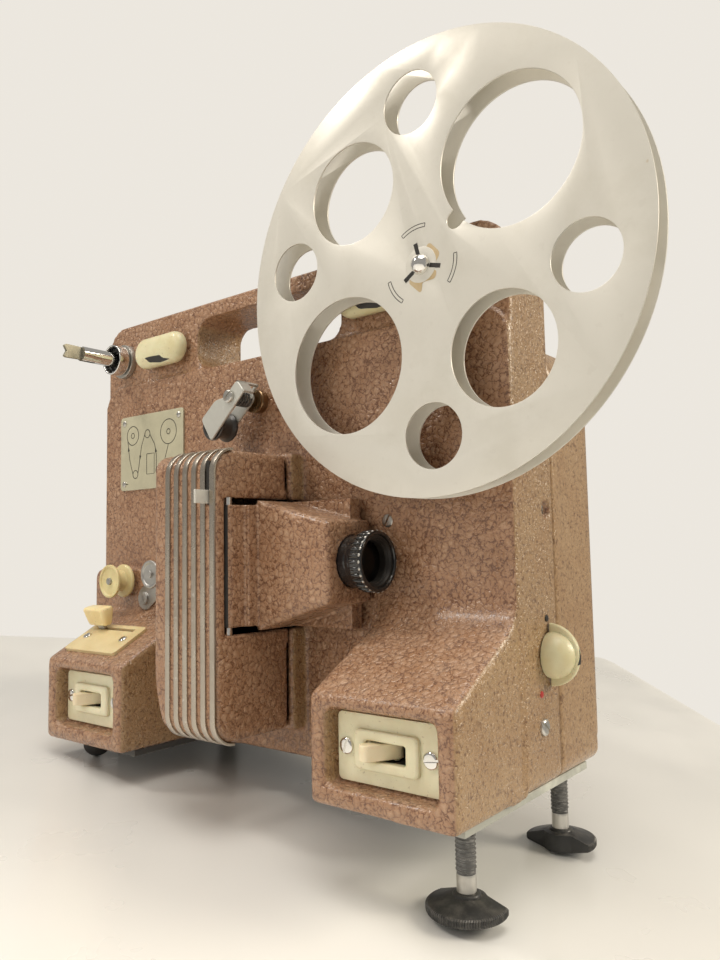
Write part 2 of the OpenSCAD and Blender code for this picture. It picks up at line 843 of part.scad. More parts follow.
module roof_blend(x) {
  z1 = slope_z(-roof_fillet) + roof_fillet / cos(box_slope);
  y0 = roof_fillet * (sin(box_slope) - 1);
  along_x(x, x + box_w)
    difference() {
      polygon([[y0, slope_z(y0)], [y0, slope_z(y0) - lap], [wall, slope_z(0) - lap], [wall, z1], [0, z1]]);
      translate([-roof_fillet, z1])
        circle(roof_fillet);
    }
}

module box_hollow(x) {
  y0 = -box_d + box_front_t;
  y1 = wall + lap;
  along_x(x + wall, x + box_w - wall)
    polygon([[y0, wall], [y0, roof_in(y0)], [y1, roof_in(y1)], [y1, wall]]);
}

module switch_window(x) {
  along_y(-box_d - lap, seat_y)
    translate([x, switch_z])
      square([plate_w + 2 * plate_gap, plate_h + 2 * plate_gap], center = true);
  along_y(seat_y - lap, seat_y + seat_t + lap)
    translate([x, switch_z])
      square([switch_w, switch_h], center = true);
}

module shaft_bosses(y0, y1, r) {
  along_y(y0, y1)
    for (p = band_shafts)
      translate(p)
        circle(r);
}

module casting_hollow() {
  shaft_bosses(pocket_y0, pocket_y1, boss_r - wall);
  along_y(wall, casting_d + lap)
    round_rect([-half_l + wall, half_l - wall], [wall, cavity_top], cover_r - wall, base_r);
  along_y(pocket_y0, pocket_y1)
    round_rect([-half_l + wall, grip_x0 - wall], [pocket_z0, pocket_top],
      corner_r - wall, base_r);
  along_y(pocket_y0, pocket_y1)
    round_rect([grip_x1 + wall, half_l - wall], [pocket_z0, pocket_top],
      corner_r - wall, base_r);
}

// Outline of the lamp house seen from its end, drawn in by an inset
module lamp_profile(inset) {
  front = -lamp_d + inset;
  r = lamp_top_r - inset;
  top = lamp_z1 - inset;
  bottom = lamp_z0 + inset;
  translate([front, bottom + r])
    square([-rim_d - front, top - bottom - 2 * r]);
  translate([front + r, bottom])
    square([-rim_d - front - r, top - bottom]);
  for (z = [bottom + r, top - r])
    translate([front + r, z])
      circle(r);
}

// Plan of the lamp house, drawn in by an inset
module lamp_plan(inset) {
  front = -lamp_d + inset;
  r = lamp_left_r - inset;
  translate([lamp_l + inset, front + r])
    square([lamp_w - 2 * inset, -rim_d - front - r]);
  translate([lamp_l + inset + r, front])
    square([lamp_w - 2 * inset - r, -rim_d - front]);
  translate([lamp_l + inset + r, front + r])
    circle(r);
}

module lamp_solid(inset) {
  intersection() {
    along_x(lamp_l + inset, lamp_r - inset)
      lamp_profile(inset);
    linear_extrude(body_h)
      lamp_plan(inset);
  }
}

module gate_opening() {
  block([lamp_r - lamp_wall - knuckle_r * 2, lamp_r + rim_lip + lap], [hinge_y - knuckle_r - clear, 0],
    [gate_z0, gate_z1]);
}

module lamp_rim() {
  difference() {
    along_y(-rim_d, wall)
      round_rect([lamp_l - rim_lip, lamp_r + rim_lip], [lamp_z0 - rim_lip, lamp_z1 + rim_lip],
        lamp_wall, lamp_wall);
    along_y(-rim_d - lap, 0)
      translate([lamp_l + lamp_wall, lamp_z0 + lamp_wall])
        square([lamp_w - 2 * lamp_wall, lamp_z1 - lamp_z0 - 2 * lamp_wall]);
    gate_opening();
  }
}

module front_casting() {
  color(hammer)
    difference() {
      union() {
        along_y(panel_step, casting_d)
          round_rect([-half_l, half_l], [0, body_h], corner_r, base_r);
        shaft_bosses(panel_step, casting_d, boss_r);
        along_y(0, panel_step + lap)
          round_rect([-half_l, half_l], [0, panel_top], panel_r, base_r);
        along_y(-ledge_d, panel_step)
          round_rect([-half_l, lamp_l], [0, ledge_top], ledge_r, base_r);
        box_shape(left_box_x);
        box_shape(right_box_x);
        roof_blend(right_box_x);
        lamp_rim();
      }
      difference() {
        casting_hollow();
        rod_y(main_x, main_z, 0, wall * 2, main_r + wall);
      }
      rod_y(main_x, main_z, wall, wall * 2 + lap, main_r + fit);
      along_y(-lap, casting_d + lap)
        round_rect([grip_x0, grip_x1], [panel_top, grip_z1], grip_r, grip_r);
      box_hollow(left_box_x);
      box_hollow(right_box_x);
      for (x = switch_xs)
        switch_window(x);
      for (x = switch_xs, side = [-1, 1])
        rod_y(x + side * plate_screw_x, switch_z, seat_y - lap, seat_y + seat_t + lap, shank_r);
      on_slope()
        translate([0, speed_slot_up, -wall])
          cube([speed_slot_l, lever_t + 2 * clear, wall * 4], center = true);
      for (x = [reel_x, takeup_x])
        rod_y(x, spindle_z, 0, casting_d + lap, bush_r);
      for (x = oval_xs)
        rod_y(x, oval_z, 0, pocket_y0 + lap, knob_shaft_r + fit);
      rod_x(half_l - wall - lap, half_l + lap, side_knob_y, side_knob_z, knob_shaft_r + fit);
      block([shutter_x - shutter_gap, shutter_x + shutter_gap], [-lap, wall + lap],
        [lens_z - shutter_r - lap, lens_z + shutter_r + lap]);
      for (p = side_screws)
        rod_x(half_l - wall - lap, half_l + lap, p[0], p[1], shank_r);
      rod_y(panel_screw[0], panel_screw[1], -lap, wall + lap, shank_r);
      rod_z(foot_x, foot_front_y, -lap, wall + lap, foot_bush_r);
    }
}

module rear_cover() {
  color(hammer)
    difference() {
      intersection() {
        along_y(casting_d, body_d)
          round_rect([-half_l, half_l], [0, cover_h], cover_r, base_r);
        linear_extrude(body_h)
          round_rect([-half_l, half_l], [0, body_d], cover_edge_r, base_r);
      }
      intersection() {
        along_y(casting_d - lap, body_d - wall)
          round_rect([-half_l + wall, half_l - wall], [wall, cover_h - wall], cover_r - wall, base_r);
        linear_extrude(body_h)
          round_rect([-half_l + wall, half_l - wall], [0, body_d - wall], cover_edge_r - wall, base_r);
      }
      for (i = [0 : louvre_count - 1])
        block([lamp_x - louvre_l / 2, lamp_x + louvre_l / 2], [motor_y1 - lap, body_d + lap],
          [louvre_z1 - i * louvre_pitch - louvre_h, louvre_z1 - i * louvre_pitch]);
      block([right_box_x, right_box_x + inlet_w], [motor_y1 - lap, body_d + lap],
        [inlet_z, inlet_z + inlet_h]);
      rod_z(foot_x, foot_rear_y, -lap, wall + lap, foot_bush_r);
    }
}

module base_plate() {
  color(steel)
    difference() {
      union() {
        block([-half_l + base_in, half_l - base_in], [base_front_in, body_d - base_in], [-base_t, 0]);
        for (x = [left_box_x, right_box_x])
          block([x + base_in, x + box_w - base_in], [-box_d + base_front_in, base_front_in + lap],
            [-base_t, 0]);
      }
      for (y = foot_ys)
        rod_z(foot_x, y, -base_t - lap, lap, foot_bush_r);
    }
}

module lamp_house() {
  color(hammer)
    difference() {
      union() {
        difference() {
          lamp_solid(0);
          difference() {
            lamp_solid(lamp_wall);
            block([lamp_l, lamp_r], [-rim_d - lap, 0], [0, body_h]);
          }
          block([lamp_l + lamp_wall, lamp_r - lamp_wall], [-rim_d - 2 * lap, 0],
            [lamp_z0 + lamp_wall, lamp_z1 - lamp_wall]);
          gate_opening();
        }
        for (z = [[gate_z0 - boss_h, gate_z0], [gate_z1, gate_z1 + boss_h]])
          block([hinge_x - knuckle_r, lamp_r - lamp_wall + lap], [hinge_y - knuckle_r, hinge_y + knuckle_r], z);
      }
      rod_z(hinge_x, hinge_y, gate_z0 - boss_h - lap, gate_z1 + boss_h + lap, pin_r);
      block([slot_x - slot_w / 2, slot_x + slot_w / 2], [-lamp_d - lap, -lamp_d + lamp_wall + clear + carriage_t],
        [slot_z0, slot_z0 + slot_h]);
    }
}

module lamp_house_trim() {
  color(alu)
    for (i = [0 : strip_count - 1])
      translate([strip_x1 - i * strip_pitch - strip_w / 2, 0, 0])
        along_x(0, strip_w)
          intersection() {
            difference() {
              lamp_profile(-strip_t);
              lamp_profile(0);
            }
            translate([-lamp_d - strip_t, lamp_z0 - strip_t])
              square([lamp_top_r + strip_t, lamp_z1 - lamp_z0 + 2 * strip_t]);
          }
}

module diagram_plate() {
  color(cream)
    along_y(-diagram_t, 0)
      translate([diagram_x, diagram_z])
        round_rect([-diagram_w / 2, diagram_w / 2], [-diagram_h / 2, diagram_h / 2], plate_r, plate_r);
}

module switch_plate(x) {
  color(cream)
    difference() {
      along_y(plate_front_y, seat_y)
        translate([x, switch_z])
          round_rect([-plate_w / 2, plate_w / 2], [-plate_h / 2, plate_h / 2], plate_r, plate_r);
      along_y(plate_front_y - lap, seat_y + lap)
        translate([x, switch_z])
          square([toggle_slot_w, toggle_h + 2 * clear], center = true);
      for (side = [-1, 1])
        rod_y(x + side * plate_screw_x, switch_z, plate_front_y - lap, seat_y + lap, shank_r);
    }
}

module switch_bodies() {
  color(black)
    for (x = switch_xs)
      difference() {
        along_y(seat_y, seat_y + switch_d)
          translate([x, switch_z])
            square([switch_w, switch_h], center = true);
        along_y(seat_y - lap, toggle_y + toggle_t)
          translate([x, switch_z])
            square([toggle_slot_w, toggle_h + 2 * clear], center = true);
        rod_z(x, toggle_y, switch_z - toggle_h, switch_z + toggle_h, trunnion_r + fit);
      }
}

// A toggle that leans to the left about its upright trunnion
module toggle(x) {
  color(cream)
    translate([x, toggle_y, switch_z])
      rotate([0, 0, -toggle_lean])
        translate([0, 0, -toggle_h / 2]) {
          cylinder(h = toggle_h, r = toggle_t / 2);
          translate([-toggle_t / 2, -toggle_l + toggle_t / 2, 0])
            cube([toggle_t, toggle_l - toggle_t / 2, toggle_h]);
          translate([0, -toggle_l + toggle_t / 2, 0])
            cylinder(h = toggle_h, r = toggle_t / 2);
          translate([0, 0, -trunnion_r])
            cylinder(h = toggle_h + 2 * trunnion_r, r = trunnion_r);
        }
}

module speed_plate() {
  color(ivory)
    on_slope()
      difference() {
        linear_extrude(speed_t)
          round_rect([-speed_w / 2, speed_w / 2], [-speed_l / 2, speed_l / 2], plate_r, plate_r);
        translate([0, speed_slot_up, 0])
          cube([speed_slot_l, lever_t + 2 * clear, 4 * speed_t], center = true);
        for (side = [-1, 1])
          translate([side * speed_screw_x, 0, -lap])
            cylinder(h = speed_t + 2 * lap, r = shank_r);
      }
}

// The lever at the left end of its slot
module speed_lever() {
  color(zinc)
    on_slope()
      translate([-lever_travel / 2, speed_slot_up, 0])
        difference() {
          union() {
            translate([-lever_w / 2, -lever_t / 2, -rail_drop])
              cube([lever_w, lever_t, rail_drop + speed_t + lever_knob_up + lever_knob_h / 2]);
            translate([0, 0, -rail_drop])
              cube([slider_w, slider_w, slider_w], center = true);
          }
          rod_x(-slider_w, slider_w, 0, -rail_drop, rail_r + fit);
        }
}

module speed_lever_knob() {
  color(ivory)
    on_slope()
      translate([-lever_travel / 2, speed_slot_up, speed_t + lever_knob_up])
        difference() {
          linear_extrude(lever_knob_h)
            slot_shape(lever_knob_w, lever_knob_t);
          translate([-lever_w / 2, -lever_t / 2, -lap])
            cube([lever_w, lever_t, lever_knob_h / 2 + lap]);
        }
}

module speed_rail() {
  color(steel)
    on_slope()
      rod_x(left_box_x + wall - speed_x, left_box_x + box_w - wall - speed_x, speed_slot_up, -rail_drop, rail_r);
}

// An oval knob turns in front of the raised panel, on a hub
module oval_knob(x) {
  color(ivory)
    difference() {
      union() {
        along_y(-clear - oval_h + oval_crown, -clear)
          translate([x, oval_z])
            slot_shape(oval_l, oval_w);
        along_y(-clear - oval_h, -clear)
          translate([x, oval_z])
            slot_shape(oval_l - 2 * oval_bevel, oval_w - 2 * oval_bevel);
        rod_y(x, oval_z, -oval_h / 2, panel_step - clear, shaft_collar_r);
      }
      rod_y(x, oval_z, -oval_h / 2, panel_step, knob_shaft_r);
    }
}

module oval_shaft(x) {
  color(steel) {
    rod_y(x, oval_z, -oval_h / 2, pocket_y0 + knob_shaft_in, knob_shaft_r);
    rod_y(x, oval_z, pocket_y0 + clear, pocket_y0 + clear + shaft_collar_t, shaft_collar_r);
  }
}

module side_knob() {
  x0 = half_l + clear;
  color(ivory)
    difference() {
      intersection() {
        union() {
          translate([x0 + side_knob_h - side_body_r, side_knob_y, side_knob_z])
            sphere(side_body_r);
          rod_y(x0, side_knob_z, side_knob_y - side_fin_t / 2, side_knob_y + side_fin_t / 2, side_knob_r);
        }
        block([x0, x0 + side_knob_r], [side_knob_y - side_knob_r, side_knob_y + side_knob_r],
          [side_knob_z - side_knob_r, side_knob_z + side_knob_r]);
      }
      rod_x(half_l, half_l + side_knob_h / 2, side_knob_y, side_knob_z, knob_shaft_r);
    }
}

module side_knob_shaft() {
  color(steel) {
    rod_x(half_l - wall - knob_shaft_in, half_l + side_knob_h / 2, side_knob_y, side_knob_z, knob_shaft_r);
    rod_x(half_l - wall - clear - shaft_collar_t, half_l - wall - clear, side_knob_y, side_knob_z,
      shaft_collar_r);
  }
}

// Two coloured index dots beside the side knob
module index_dots() {
  color(black)
    for (side = [-1, 1])
      rod_x(half_l, half_l + dot_t, side_knob_y - dot_front + side * dot_y,
        side_knob_z + side * (side_knob_r + dot_gap), dot_r);
}

module reel_outline() {
  difference() {
    circle(reel_r, $fn = 180);
    for (i = [0, 1]) {
      rotate(reel_turn + i * 180)
        translate([big_hole_at, 0])
          circle(big_hole_r);
      rotate(reel_turn + 90 + i * 180)
        translate([big_hole_at, 0])
          circle(mid_hole_r);
      for (side = [-1, 1])
        rotate(reel_turn + 90 + i * 180 + side * small_hole_step)
          translate([small_hole_at, 0])
            circle(small_hole_r);
    }
    rotate(reel_turn)
      translate([film_slot_in + film_slot_w / 2, 0]) {
        circle(film_slot_w / 2);
        translate([0, -film_slot_w / 2])
          square([big_hole_at - film_slot_in - film_slot_w / 2, film_slot_w]);
      }
    circle(spindle_r);
  }
}

module reel_flange(y0) {
  color(alu)
    along_y(y0, y0 + flange_t)
      translate([reel_x, spindle_z])
        reel_outline();
}

module reel_core() {
  color(alu)
    difference() {
      rod_y(reel_x, spindle_z, reel_y0 + flange_t, -reel_gap - flange_t, core_r);
      rod_y(reel_x, spindle_z, reel_y0, -reel_gap, spindle_r);
    }
}

module reel_spindle() {
  color(steel) {
    rod_y(reel_x, spindle_z, reel_y0 - spindle_out + spindle_r, -reel_gap + lap, spindle_r);
    rod_y(reel_x, spindle_z, -reel_gap, casting_d - wall / 2, journal_r);
    translate([reel_x, reel_y0 - spindle_out + spindle_r, spindle_z])
      sphere(spindle_r);
    rod_y(reel_x, spindle_z, -reel_gap, panel_step - bush_flange_t - clear, collar_r);
    rod_y(reel_x, spindle_z, pocket_y0 + clear, pocket_y0 + clear + spindle_r, collar_r);
  }
}

module takeup_spindle() {
  color(steel)
    difference() {
      union() {
        rod_y(takeup_x, spindle_z, -reel_gap - takeup_out, -reel_gap + lap, spindle_r);
        rod_y(takeup_x, spindle_z, -reel_gap, casting_d - wall / 2, journal_r);
        rod_y(takeup_x, spindle_z, -reel_gap, panel_step - bush_flange_t - clear, collar_r);
      }
      block([takeup_x - tip_t / 2 - clear, takeup_x + tip_t / 2 + clear],
        [-reel_gap - takeup_out - lap, -reel_gap - takeup_out + tip_slot],
        [spindle_z - spindle_r - lap, spindle_z + spindle_r + lap]);
      rod_x(takeup_x - spindle_r, takeup_x + spindle_r, tip_pin_y, spindle_z, tip_pin_r + fit);
    }
}

module takeup_pulley() {
  color(zinc)
    pulley(takeup_x, spindle_z, belt_a_y, takeup_groove_r, journal_r);
}

// The folding tip, straight out, with its own cross pin
module spindle_tip() {
  color(steel) {
    rod_x(takeup_x - spindle_r + lap / 2, takeup_x + spindle_r - lap / 2, tip_pin_y, spindle_z, tip_pin_r);
    rod_x(takeup_x - tip_t / 2, takeup_x + tip_t / 2, tip_pin_y, spindle_z, spindle_r - clear * 2);
    block([takeup_x - tip_t / 2, takeup_x + tip_t / 2], [tip_pin_y - tip_l, tip_pin_y],
      [spindle_z - tip_w / 2, spindle_z + tip_w / 2]);
  }
}

module spindle_bushes() {
  color(brass)
    for (x = [reel_x, takeup_x]) {
      difference() {
        union() {
          rod_y(x, spindle_z, panel_step - bush_flange_t, panel_step, bush_flange_r);
          rod_y(x, spindle_z, panel_step - lap, pocket_y0, bush_r);
        }
        rod_y(x, spindle_z, panel_step - bush_flange_t - lap, pocket_y0 + lap, journal_r + fit);
      }
      difference() {
        rod_y(x, spindle_z, pocket_y1, casting_d, bush_r);
        rod_y(x, spindle_z, pocket_y1 - lap, casting_d - wall / 2 + clear, journal_r + fit);
      }
    }
}

module framing_tab() {
  color(steel) {
    block([slot_x - slot_w / 2 + clear, slot_x + slot_w / 2 - clear],
      [-lamp_d - tab_out, -lamp_d + lamp_wall + clear + carriage_t], [slot_z0 + clear, slot_z0 + clear + tab_h]);
    block([slot_x - slot_w / 2 - carriage_lip, slot_x + slot_w / 2 + carriage_lip],
      [-lamp_d + lamp_wall + clear, -lamp_d + lamp_wall + clear + carriage_t],
      [slot_z0 + clear - carriage_drop, slot_z0 + clear + tab_h - carriage_drop]);
  }
}

module lens_gate() {
  z0 = gate_z0 + gate_gap;
  z1 = gate_z1 - gate_gap;
  leaf_y1 = aperture_y0 - gate_gap;
  color(hammer)
    difference() {
      union() {
        rod_z(hinge_x, hinge_y, gate_z0 + knuckle_gap, gate_z1 - knuckle_gap, knuckle_r);
        block([hinge_x, lamp_r + clear], [hinge_y, leaf_y1],
          [gate_z0 + knuckle_gap, gate_z1 - knuckle_gap]);
        block([gate_x + lap - leaf_t, gate_x + lap], [-nose_d - leaf_t, leaf_y1],
          [gate_z0 + knuckle_gap, gate_z1 - knuckle_gap]);
        block([gate_x, gate_x + gate_plate_l], [-gate_back - gate_plate_t, -gate_back], [z0, z1]);
        hull() {
          block([gate_x, gate_x + lap], [-nose_d, -gate_back], [z0, z1]);
          block([nose_x1 - lap, nose_x1], [-nose_d + lap, -gate_back],
            [lens_z - nose_h / 2, lens_z + nose_h / 2]);
        }
      }
      rod_x(gate_x - lap, nose_x1 + lap, lens_y, lens_z, bore_r);
      block([gate_x - lap, pressure_pocket], [aperture_y0 + gate_gap, -gate_back - gate_gap],
        [z0 + film_edge, z1 - film_edge]);
      for (z = pressure_pins)
        rod_x(pressure_x1 - lap, pressure_pocket + pressure_bore_l, lens_y, z, pin_r / 2 + fit);
      rod_z(hinge_x, hinge_y, gate_z0, gate_z1, pin_r + fit);
    }
}

module hinge_pins() {
  color(steel) {
    rod_z(hinge_x, hinge_y, gate_z0 - boss_h, gate_z0 + knuckle_gap + pin_l, pin_r);
    rod_z(hinge_x, hinge_y, gate_z1 - knuckle_gap - pin_l, gate_z1 + boss_h, pin_r);
  }
}

module lens_barrel() {
  color(black)
    difference() {
      rod_x(barrel_x0, lens_x1 - 1, lens_y, lens_z, barrel_r);
      rod_x(barrel_x0 - lap, lens_x1, lens_y, lens_z, barrel_r - barrel_wall);
    }
}

module focus_ring() {
  color(black)
    difference() {
      rod_x(focus_x0, lens_x1, lens_y, lens_z, focus_r);
      rod_x(focus_x0 - lap, lens_x1 + lap, lens_y, lens_z, barrel_r + fit);
    }
}

module lens_glass() {
  color(glass)
    for (x = [barrel_x0 + lap, lens_x1 - glass_in - glass_t])
      rod_x(x, x + glass_t, lens_y, lens_z, barrel_r - barrel_wall);
}

module aperture_plate() {
  color(steel)
    difference() {
      union() {
        block([aperture_x1 - aperture_t, aperture_x1], [aperture_y0, 0],
          [gate_z0 + gate_gap, gate_z1 - gate_gap]);
        for (z = [gate_z0 + 2 * gate_gap, gate_z1 - 2 * gate_gap - aperture_foot_h])
          block([aperture_x1 - lap, aperture_x1 + aperture_foot_l], [2 * clear - gate_back, 0],
            [z, z + aperture_foot_h]);
      }
      block([aperture_x1 - aperture_t - lap, aperture_x1 + lap],
        [lens_y - aperture_w / 2, lens_y + aperture_w / 2],
        [lens_z - aperture_h / 2, lens_z + aperture_h / 2]);
    }
}

module pressure_plate() {
  color(steel) {
    difference() {
      block([pressure_x0, pressure_x1], [aperture_y0 + 2 * gate_gap, -gate_back - 2 * gate_gap],
        [gate_z0 + film_edge + 3 * gate_gap, gate_z1 - film_edge - 3 * gate_gap]);
      block([pressure_x0 - lap, pressure_x1 + lap], [lens_y - aperture_w, lens_y + aperture_w],
        [lens_z - aperture_h, lens_z + aperture_h]);
    }
    for (z = pressure_pins)
      rod_x(pressure_x1 - lap / 2, pressure_pocket + pressure_pin_l, lens_y, z, pin_r / 2);
  }
}

module guide_post() {
  color(zinc) {
    rod_y(guide_x, guide_z, -post_h, 0, post_r);
    rod_y(guide_x, guide_z, guide_front_y - clear - lap, 0, pivot_r);
    rod_y(guide_x, guide_z, guide_front_y - clear - head_h, guide_front_y - clear, head_r);
  }
}

// Outline of a guide plate, from its pivot down to its roller
module guide_outline() {
  rotate(180 + arm_slope)
    difference() {
      union() {
        translate([-arm_w / 2, -arm_w / 2])
          square([arm_l + arm_w / 2, arm_w]);
        translate([arm_l, 0])
          circle(arm_w / 2);
      }
      circle(pivot_r + fit);
    }
}

module guide_arm() {
  color(steel)
    translate([guide_x, 0, guide_z]) {
      along_y(guide_front_y, guide_front_y + guide_t)
        guide_outline();
      along_y(guide_rear_y, guide_rear_y + guide_t)
        guide_outline();
      along_y(guide_front_y, guide_rear_y + guide_t)
        rotate(180 + arm_slope)
          translate([-arm_w / 2, -arm_w / 2])
            square([guide_t, arm_w / 2]);
      along_y(guide_front_y + guide_t / 2, guide_rear_y + guide_t / 2)
        rotate(180 + arm_slope)
          translate([arm_l, 0])
            circle(roller_pin_r);
    }
}

module guide_roller() {
  color(black)
    translate([guide_x, 0, guide_z])
      along_y(guide_front_y + guide_t + clear, guide_rear_y - clear)
        rotate(180 + arm_slope)
          translate([arm_l, 0])
            difference() {
              circle(guide_roller_r);
              circle(roller_pin_r + fit);
            }
}

// Guide spring: a wire wound round the pivot, straight at each end
curl_steps = 8;
wire_sides = 6;
spring_y0 = film_y - curls * curl_pitch / 2;
spring_end = curls * curl_steps;
// Turn of the wire at a step, held along the straight ends
function wire_turn(i) = 360 * min(max(i, 0), spring_end) / curl_steps;
// Length of the straight end at a step
function wire_run(i) = 2 * wire_r * (max(i - spring_end, 0) + min(i, 0));
// A point at a radius from the pivot and a depth from the wire
function wire_point(i, r, y) =
  let (t = wire_turn(i), run = wire_run(i))
    [r * cos(t) - run * sin(t), spring_y0 + curl_pitch * t / 360 + y, r * sin(t) + run * cos(t)];
wire_middles = [for (i = [-1 : spring_end + 1]) wire_point(i, curl_r, 0)];
spring_gap = min([for (i = [0 : len(wire_middles) - 1], j = [0 : len(wire_middles) - 1])
  if (j - i >= curl_steps / 2) norm(wire_middles[i] - wire_middles[j])]) - 2 * wire_r;

module guide_spring() {
  last = len(wire_middles) - 1;
  points = [for (i = [-1 : spring_end + 1], k = [0 : wire_sides - 1])
    wire_point(i, curl_r + wire_r * cos(360 * k / wire_sides), wire_r * sin(360 * k / wire_sides))];
  sides = [for (i = [0 : last - 1], k = [0 : wire_sides - 1])
    let (a = i * wire_sides + k, b = i * wire_sides + (k + 1) % wire_sides)
      each [[a, b, a + wire_sides], [b, b + wire_sides, a + wire_sides]]];
  first_cap = [for (k = [1 : wire_sides - 2]) [0, k + 1, k]];
  last_cap = [for (k = [1 : wire_sides - 2]) [last * wire_sides, last * wire_sides + k, last * wire_sides + k + 1]];
  echo(spring_gap = spring_gap);
  color(steel)
    translate([guide_x, 0, guide_z])
      polyhedron(points, concat(sides, first_cap, last_cap));
}

module ivory_roller() {
  y0 = film_y - film_way / 2;
  y1 = film_y + film_way / 2;
  color(ivory)
    difference() {
      union() {
        rod_y(ivory_x, ivory_z, y0, y1, ivory_core_r);
        rod_y(ivory_x, ivory_z, y0, y0 + ivory_flange_t, ivory_r);
        rod_y(ivory_x, ivory_z, y1 - ivory_flange_t, y1, ivory_r);
      }
      rod_y(ivory_x, ivory_z, y0 - lap, y1 + lap, roller_pin_r + fit);
    }
}

// Lower guide plate with the pins of both lower rollers
module lower_guide() {
  color(zinc) {
    along_y(-ledge_d - guide_t, -ledge_d)
      translate([lower_x, lower_z])
        rotate(lower_slope)
          translate([lower_l / 2, 0])
            slot_shape(lower_l + lower_w, lower_w);
    rod_y(lower_x, lower_z, -ledge_d - guide_t - head_h, -ledge_d - guide_t, head_r);
    rod_y(lower_x + lower_l * cos(lower_slope), lower_z + lower_l * sin(lower_slope),
      film_y - film_way / 2 - clear, -ledge_d - guide_t, roller_pin_r);
    rod_y(ivory_x, ivory_z, film_y - film_way / 2 - clear, -ledge_d, roller_pin_r);
  }
}

module lower_roller() {
  color(black)
    difference() {
      rod_y(lower_x + lower_l * cos(lower_slope), lower_z + lower_l * sin(lower_slope),
        film_y - film_way / 2, -ledge_d - guide_t - clear, guide_roller_r);
      rod_y(lower_x + lower_l * cos(lower_slope), lower_z + lower_l * sin(lower_slope),
        film_y - film_way, 0, roller_pin_r + fit);
    }
}

// Stop ring that keeps a levelling foot in
module foot_stop(y) {
  color(steel)
    difference() {
      rod_z(foot_x, y, stop_z, stop_z + stop_t, stop_r);
      rod_z(foot_x, y, stop_z - lap, stop_z + stop_t + lap, stem_r + fit);
    }
}

module foot(y, turn) {
  color(black)
    translate([foot_x, y, -foot_drop])
      rotate(turn)
        intersection() {
          translate([0, 0, dome_r])
            sphere(dome_r);
          union() {
            cylinder(h = foot_drop + stop_z + stop_t + lap, r = stem_r);
            cylinder(h = foot_head_h, r = foot_hub_r);
            intersection() {
              union() {
                cylinder(h = foot_edge, r = foot_head_r);
                translate([0, 0, foot_edge])
                  cylinder(h = foot_head_h - foot_edge, r1 = foot_head_r, r2 = foot_hub_r);
              }
              translate([-foot_head_r, -foot_head_r, 0])
                cube([2 * foot_head_r, foot_head_r + foot_flat, foot_head_h]);
            }
          }
        }
}

module foot_bushes() {
  color(steel)
    for (y = foot_ys)
      difference() {
        rod_z(foot_x, y, -base_t, foot_bush_h, foot_bush_r);
        rod_z(foot_x, y, -base_t - lap, foot_bush_h + lap, stem_r + fit);
      }
}

module rubber_feet() {
  color(black)
    for (y = rubber_ys)
      difference() {
        translate([rubber_x, y, -base_t])
          sphere(rubber_r);
        block([rubber_x - 2 * rubber_r, rubber_x + 2 * rubber_r], [y - 2 * rubber_r, y + 2 * rubber_r],
          [-base_t, rubber_r]);
      }
}

// A slotted screw whose head rests on Z = 0
module screw(r, length) {
  difference() {
    cylinder(h = head_h, r = r);
    translate([0, 0, head_h])
      cube([2 * r + lap, driver_slot, head_h], center = true);
  }
  translate([0, 0, -length])
    cylinder(h = length, r = shank_r);
}

module screws() {
  color(steel) {
    for (p = side_screws)
      translate([half_l, p[0], p[1]])
        rotate([0, 90, 0])
          screw(head_r, wall);
    translate([panel_screw[0], 0, panel_screw[1]])
      rotate([90, 0, 0])
        screw(head_r, wall);
    for (x = switch_xs, side = [-1, 1])
      translate([x + side * plate_screw_x, plate_front_y, switch_z])
        rotate([90, 0, 0])
          screw(small_head_r, plate_t + seat_t);
    for (side = [-1, 1])
      on_slope()
        translate([side * speed_screw_x, 0, speed_t])
          screw(small_head_r, speed_t);
    for (x = [-1, 1], z = [-1, 1])
      rod_y(diagram_x + x * (diagram_w / 2 - pin_in), diagram_z + z * (diagram_h / 2 - pin_in),
        -diagram_t - pin_head_h, -diagram_t, pin_head_r);
  }
}

module pulley(x, z, y, groove_r, bore) {
  difference() {
    union() {
      rod_y(x, z, y - pulley_w / 2, y + pulley_w / 2, groove_r);
      rod_y(x, z, y - pulley_w / 2, y - pulley_w / 2 + pulley_rim_t, groove_r + groove_d);
      rod_y(x, z, y + pulley_w / 2 - pulley_rim_t, y + pulley_w / 2, groove_r + groove_d);
    }
    rod_y(x, z, y - pulley_w, y + pulley_w, bore);
  }
}

module motor() {
  color(black)
    difference() {
      union() {
        rod_y(motor_x, motor_z, motor_y0, motor_y1, motor_r);
        block([motor_x - cradle_w / 2, motor_x + cradle_w / 2], [motor_y0 + wall, motor_y1 - wall],
          [wall, motor_z]);
      }
      rod_y(motor_x, motor_z, motor_y0 - lap, motor_y1 - wall, motor_shaft_r + fit);
    }
}

// Motor shaft with its fan and its two pulleys
module motor_rotor() {
  fan_y1 = motor_y0 - fan_gap;
  color(steel) {
    rod_y(motor_x, motor_z, belt_a_y - pulley_w, motor_y1 - wall - lap, motor_shaft_r);
    for (y = [belt_a_y, belt_b_y])
      pulley(motor_x, motor_z, y, motor_groove_r, motor_shaft_r - lap);
    rod_y(motor_x, motor_z, fan_y1 - fan_w, fan_y1, motor_shaft_r * 2);
    rod_y(motor_x, motor_z, fan_y1 - blade_t, fan_y1, fan_r);
    for (i = [0 : blade_count - 1])
      translate([motor_x, 0, motor_z])
        rotate([0, i * 360 / blade_count, 0])
          block([motor_shaft_r, fan_r - blade_t], [fan_y1 - fan_w, fan_y1 - blade_t / 2],
            [-blade_t / 2, blade_t / 2]);
  }
}

